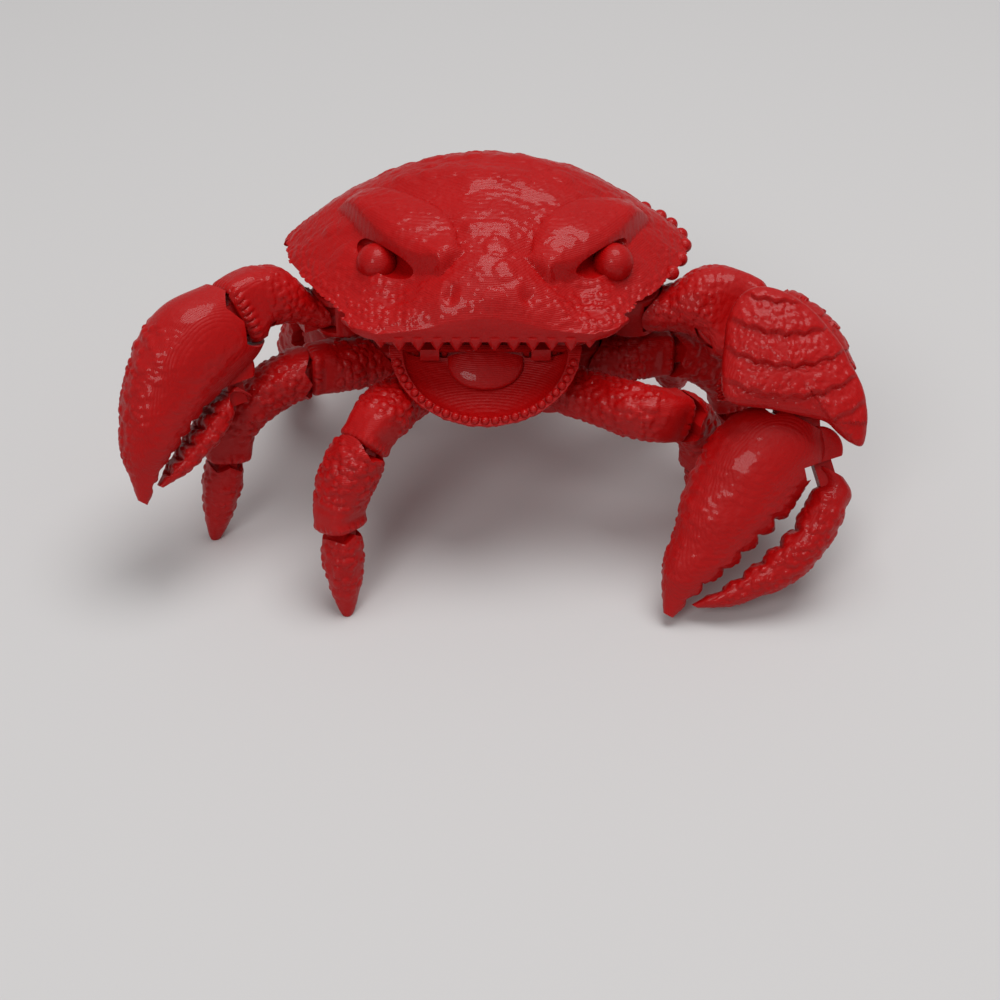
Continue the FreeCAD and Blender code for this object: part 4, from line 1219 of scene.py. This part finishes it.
def make_stage(looks):
    """Pale floor, soft lamps and the camera at the photograph's angle."""
    scene = bpy.context.scene
    size = floor_half
    corners = [(-size, -size, 0), (size, -size, 0), (size, size, 0), (-size, size, 0)]
    mesh = bpy.data.meshes.new("floor")
    mesh.from_pydata(corners, [], [(0, 1, 2, 3)])
    floor = bpy.data.objects.new("floor", mesh)
    scene.collection.objects.link(floor)
    paper = bpy.data.materials.new("pale_floor")
    paper.use_nodes = True
    # The floor's slight warm tint is painted red bounce light from the figurine, spread evenly over the
    # pale grey paper
    wired(paper.node_tree, paper.node_tree.nodes["Principled BSDF"], {
        "Base Color": (*looks.paper_and_bounce_colour, 1), "Roughness": 0.9, "Specular IOR Level": 0.2})
    mesh.materials.append(paper)

    world = bpy.data.worlds.new("soft_room")
    scene.world = world
    world.use_nodes = True
    wired(world.node_tree, world.node_tree.nodes["Background"], {
        "Color": (1, 1, 1, 1), "Strength": looks.room_light})
    for name, at, wide, share in lamps:
        lamp = bpy.data.lights.new(name, "AREA")
        lamp.shape, lamp.size, lamp.energy = "DISK", wide, looks.lamp_power * share
        piece = bpy.data.objects.new(name, lamp)
        piece.location = at
        way = Vector(lamp_aim) - Vector(at)
        piece.rotation_euler = way.to_track_quat("-Z", "Y").to_euler()
        scene.collection.objects.link(piece)

    camera = bpy.data.cameras.new("camera")
    camera.lens, camera.sensor_width = looks.lens, 36.0
    eye = bpy.data.objects.new("camera", camera)
    eye.location = (origin + np.array(camera_place)) * MM
    eye.rotation_euler = (math.radians(90 - looks.look_down), 0, 0)
    scene.collection.objects.link(eye)
    scene.camera = eye
    scene.view_settings.view_transform = "Standard"


class CrabLooks(bpy.types.PropertyGroup):
    """Sizes and colours of the figurine and its stage."""
    full_colour: FloatVectorProperty(
        name="Full Colour", description="Deeper red of the plastic", default=(0.36, 0.0008, 0.0012),
        size=3, min=0, max=1, subtype="COLOR")
    pale_colour: FloatVectorProperty(
        name="Pale Colour", description="Lighter red of the plastic", default=(0.46, 0.0012, 0.0016),
        size=3, min=0, max=1, subtype="COLOR")
    # Pale grey of the paper, tinted slightly warm as painted red light bounced from the figurine onto
    # the floor
    paper_and_bounce_colour: FloatVectorProperty(
        name="Floor Colour", description="Colour of the paper under the figurine",
        default=(0.61, 0.598, 0.596), size=3, min=0, max=1, subtype="COLOR")
    roughness: FloatProperty(
        name="Roughness", description="Roughness of the plastic where it is shiniest", default=0.34,
        min=0, max=1, subtype="FACTOR")
    layer_height: FloatProperty(
        name="Layer Height", description="Height of one printed layer", default=0.0002, min=0.00005,
        max=0.001, precision=5, unit="LENGTH")
    layer_depth: FloatProperty(
        name="Layer Depth", description="Depth of the groove between layers", default=0.00005, min=0,
        max=0.0005, precision=5, unit="LENGTH")
    blister_depth: FloatProperty(
        name="Blister Depth", description="Depth of the fine unevenness of the printed skin",
        default=0.00012, min=0, max=0.0005, precision=5, unit="LENGTH")
    pebble_size: FloatProperty(
        name="Pebble Size", description="Distance between the pebbles of the skin", default=0.0011,
        min=0.0004, max=0.004, precision=5, unit="LENGTH")
    pebble_height: FloatProperty(
        name="Pebble Height", description="Height of the pebbles of the skin", default=0.0003, min=0,
        max=0.001, precision=5, unit="LENGTH")
    lamp_power: FloatProperty(
        name="Lamp Power", description="Power of the main lamp", default=3.4, min=0, unit="POWER")
    room_light: FloatProperty(
        name="Room Light", description="Strength of the light from all round", default=0.33, min=0,
        max=2)
    lens: FloatProperty(
        name="Lens", description="Focal length of the camera in millimetres", default=66.6, min=10,
        max=300)
    look_down: FloatProperty(
        name="Look Down", description="Degrees the camera looks below level", default=38.0, min=0,
        max=90)


def shared_plastic(looks, way_name):
    """The plastic laid down along one of the named ways, made at its first use."""
    name = "red_plastic_" + way_name
    if name in bpy.data.materials:
        return bpy.data.materials[name]
    ways = {"upright": UP,
            "left_claw": claw_frame(left_wrist, left_claw_point, left_claw_turn)[2],
            "right_claw": claw_frame(right_wrist, right_claw_point, right_claw_turn)[2]}
    groups = [bpy.data.node_groups.get("printed_layers") or layer_group(),
              bpy.data.node_groups.get("plastic_tone") or tone_group()]
    return plastic(name, ways[way_name], looks, groups)


class CRAB_OT_shell(bpy.types.Operator):
    """Upper shell with its hoods, eyes, teeth and rim knobs"""
    bl_idname = "crab.shell"
    bl_label = "Shell"

    def execute(self, context):
        make_shell(shared_plastic(context.scene.crab_looks, "upright"))
        return {"FINISHED"}


class CRAB_OT_underbody(bpy.types.Operator):
    """Lower body with the cups of the limbs"""
    bl_idname = "crab.underbody"
    bl_label = "Lower Body"

    def execute(self, context):
        make_underbody(shared_plastic(context.scene.crab_looks, "upright"))
        return {"FINISHED"}


class CRAB_OT_jaw(bpy.types.Operator):
    """Lower jaw with its beads and tongue"""
    bl_idname = "crab.jaw"
    bl_label = "Lower Jaw"

    def execute(self, context):
        make_jaw(shared_plastic(context.scene.crab_looks, "upright"))
        return {"FINISHED"}


class CRAB_OT_legs(bpy.types.Operator):
    """Four pairs of walking legs of three pieces each"""
    bl_idname = "crab.legs"
    bl_label = "Legs"

    def execute(self, context):
        looks = context.scene.crab_looks
        for name in leg_poses:
            make_leg(name, looks, shared_plastic(looks, "upright"))
        return {"FINISHED"}


class CRAB_OT_left_arm(bpy.types.Operator):
    """Left arm with its claw"""
    bl_idname = "crab.left_arm"
    bl_label = "Left Arm"

    def execute(self, context):
        looks = context.scene.crab_looks
        make_left_arm(looks, shared_plastic(looks, "left_claw"))
        return {"FINISHED"}


class CRAB_OT_right_arm(bpy.types.Operator):
    """Right arm with its scaly forearm and its claw"""
    bl_idname = "crab.right_arm"
    bl_label = "Right Arm"

    def execute(self, context):
        looks = context.scene.crab_looks
        make_right_arm(looks, shared_plastic(looks, "right_claw"))
        return {"FINISHED"}


class CRAB_OT_stage(bpy.types.Operator):
    """Paper floor, lamps and camera"""
    bl_idname = "crab.stage"
    bl_label = "Stage"

    def execute(self, context):
        make_stage(context.scene.crab_looks)
        return {"FINISHED"}


class CRAB_PT_panel(bpy.types.Panel):
    """Lists the figurine's pieces and looks"""
    bl_label = "Crab Figurine"
    bl_idname = "CRAB_PT_panel"
    bl_space_type = "VIEW_3D"
    bl_region_type = "UI"
    bl_category = "Crab"

    def draw(self, context):
        looks = context.scene.crab_looks
        for name in CrabLooks.__annotations__:
            self.layout.prop(looks, name)
        for operator in operators:
            self.layout.operator(operator.bl_idname)


operators = (CRAB_OT_stage, CRAB_OT_shell, CRAB_OT_underbody, CRAB_OT_jaw, CRAB_OT_legs,
             CRAB_OT_left_arm, CRAB_OT_right_arm)
classes = (CrabLooks, *operators, CRAB_PT_panel)


def register():
    for cls in classes:
        bpy.utils.register_class(cls)
    bpy.types.Scene.crab_looks = bpy.props.PointerProperty(type=CrabLooks)


def unregister():
    del bpy.types.Scene.crab_looks
    for cls in reversed(classes):
        bpy.utils.unregister_class(cls)


def main():
    """Builds everything."""
    register()
    bpy.ops.crab.stage()
    bpy.ops.crab.shell()
    bpy.ops.crab.underbody()
    bpy.ops.crab.jaw()
    bpy.ops.crab.legs()
    bpy.ops.crab.left_arm()
    bpy.ops.crab.right_arm()


if __name__ == "__main__":
    main()
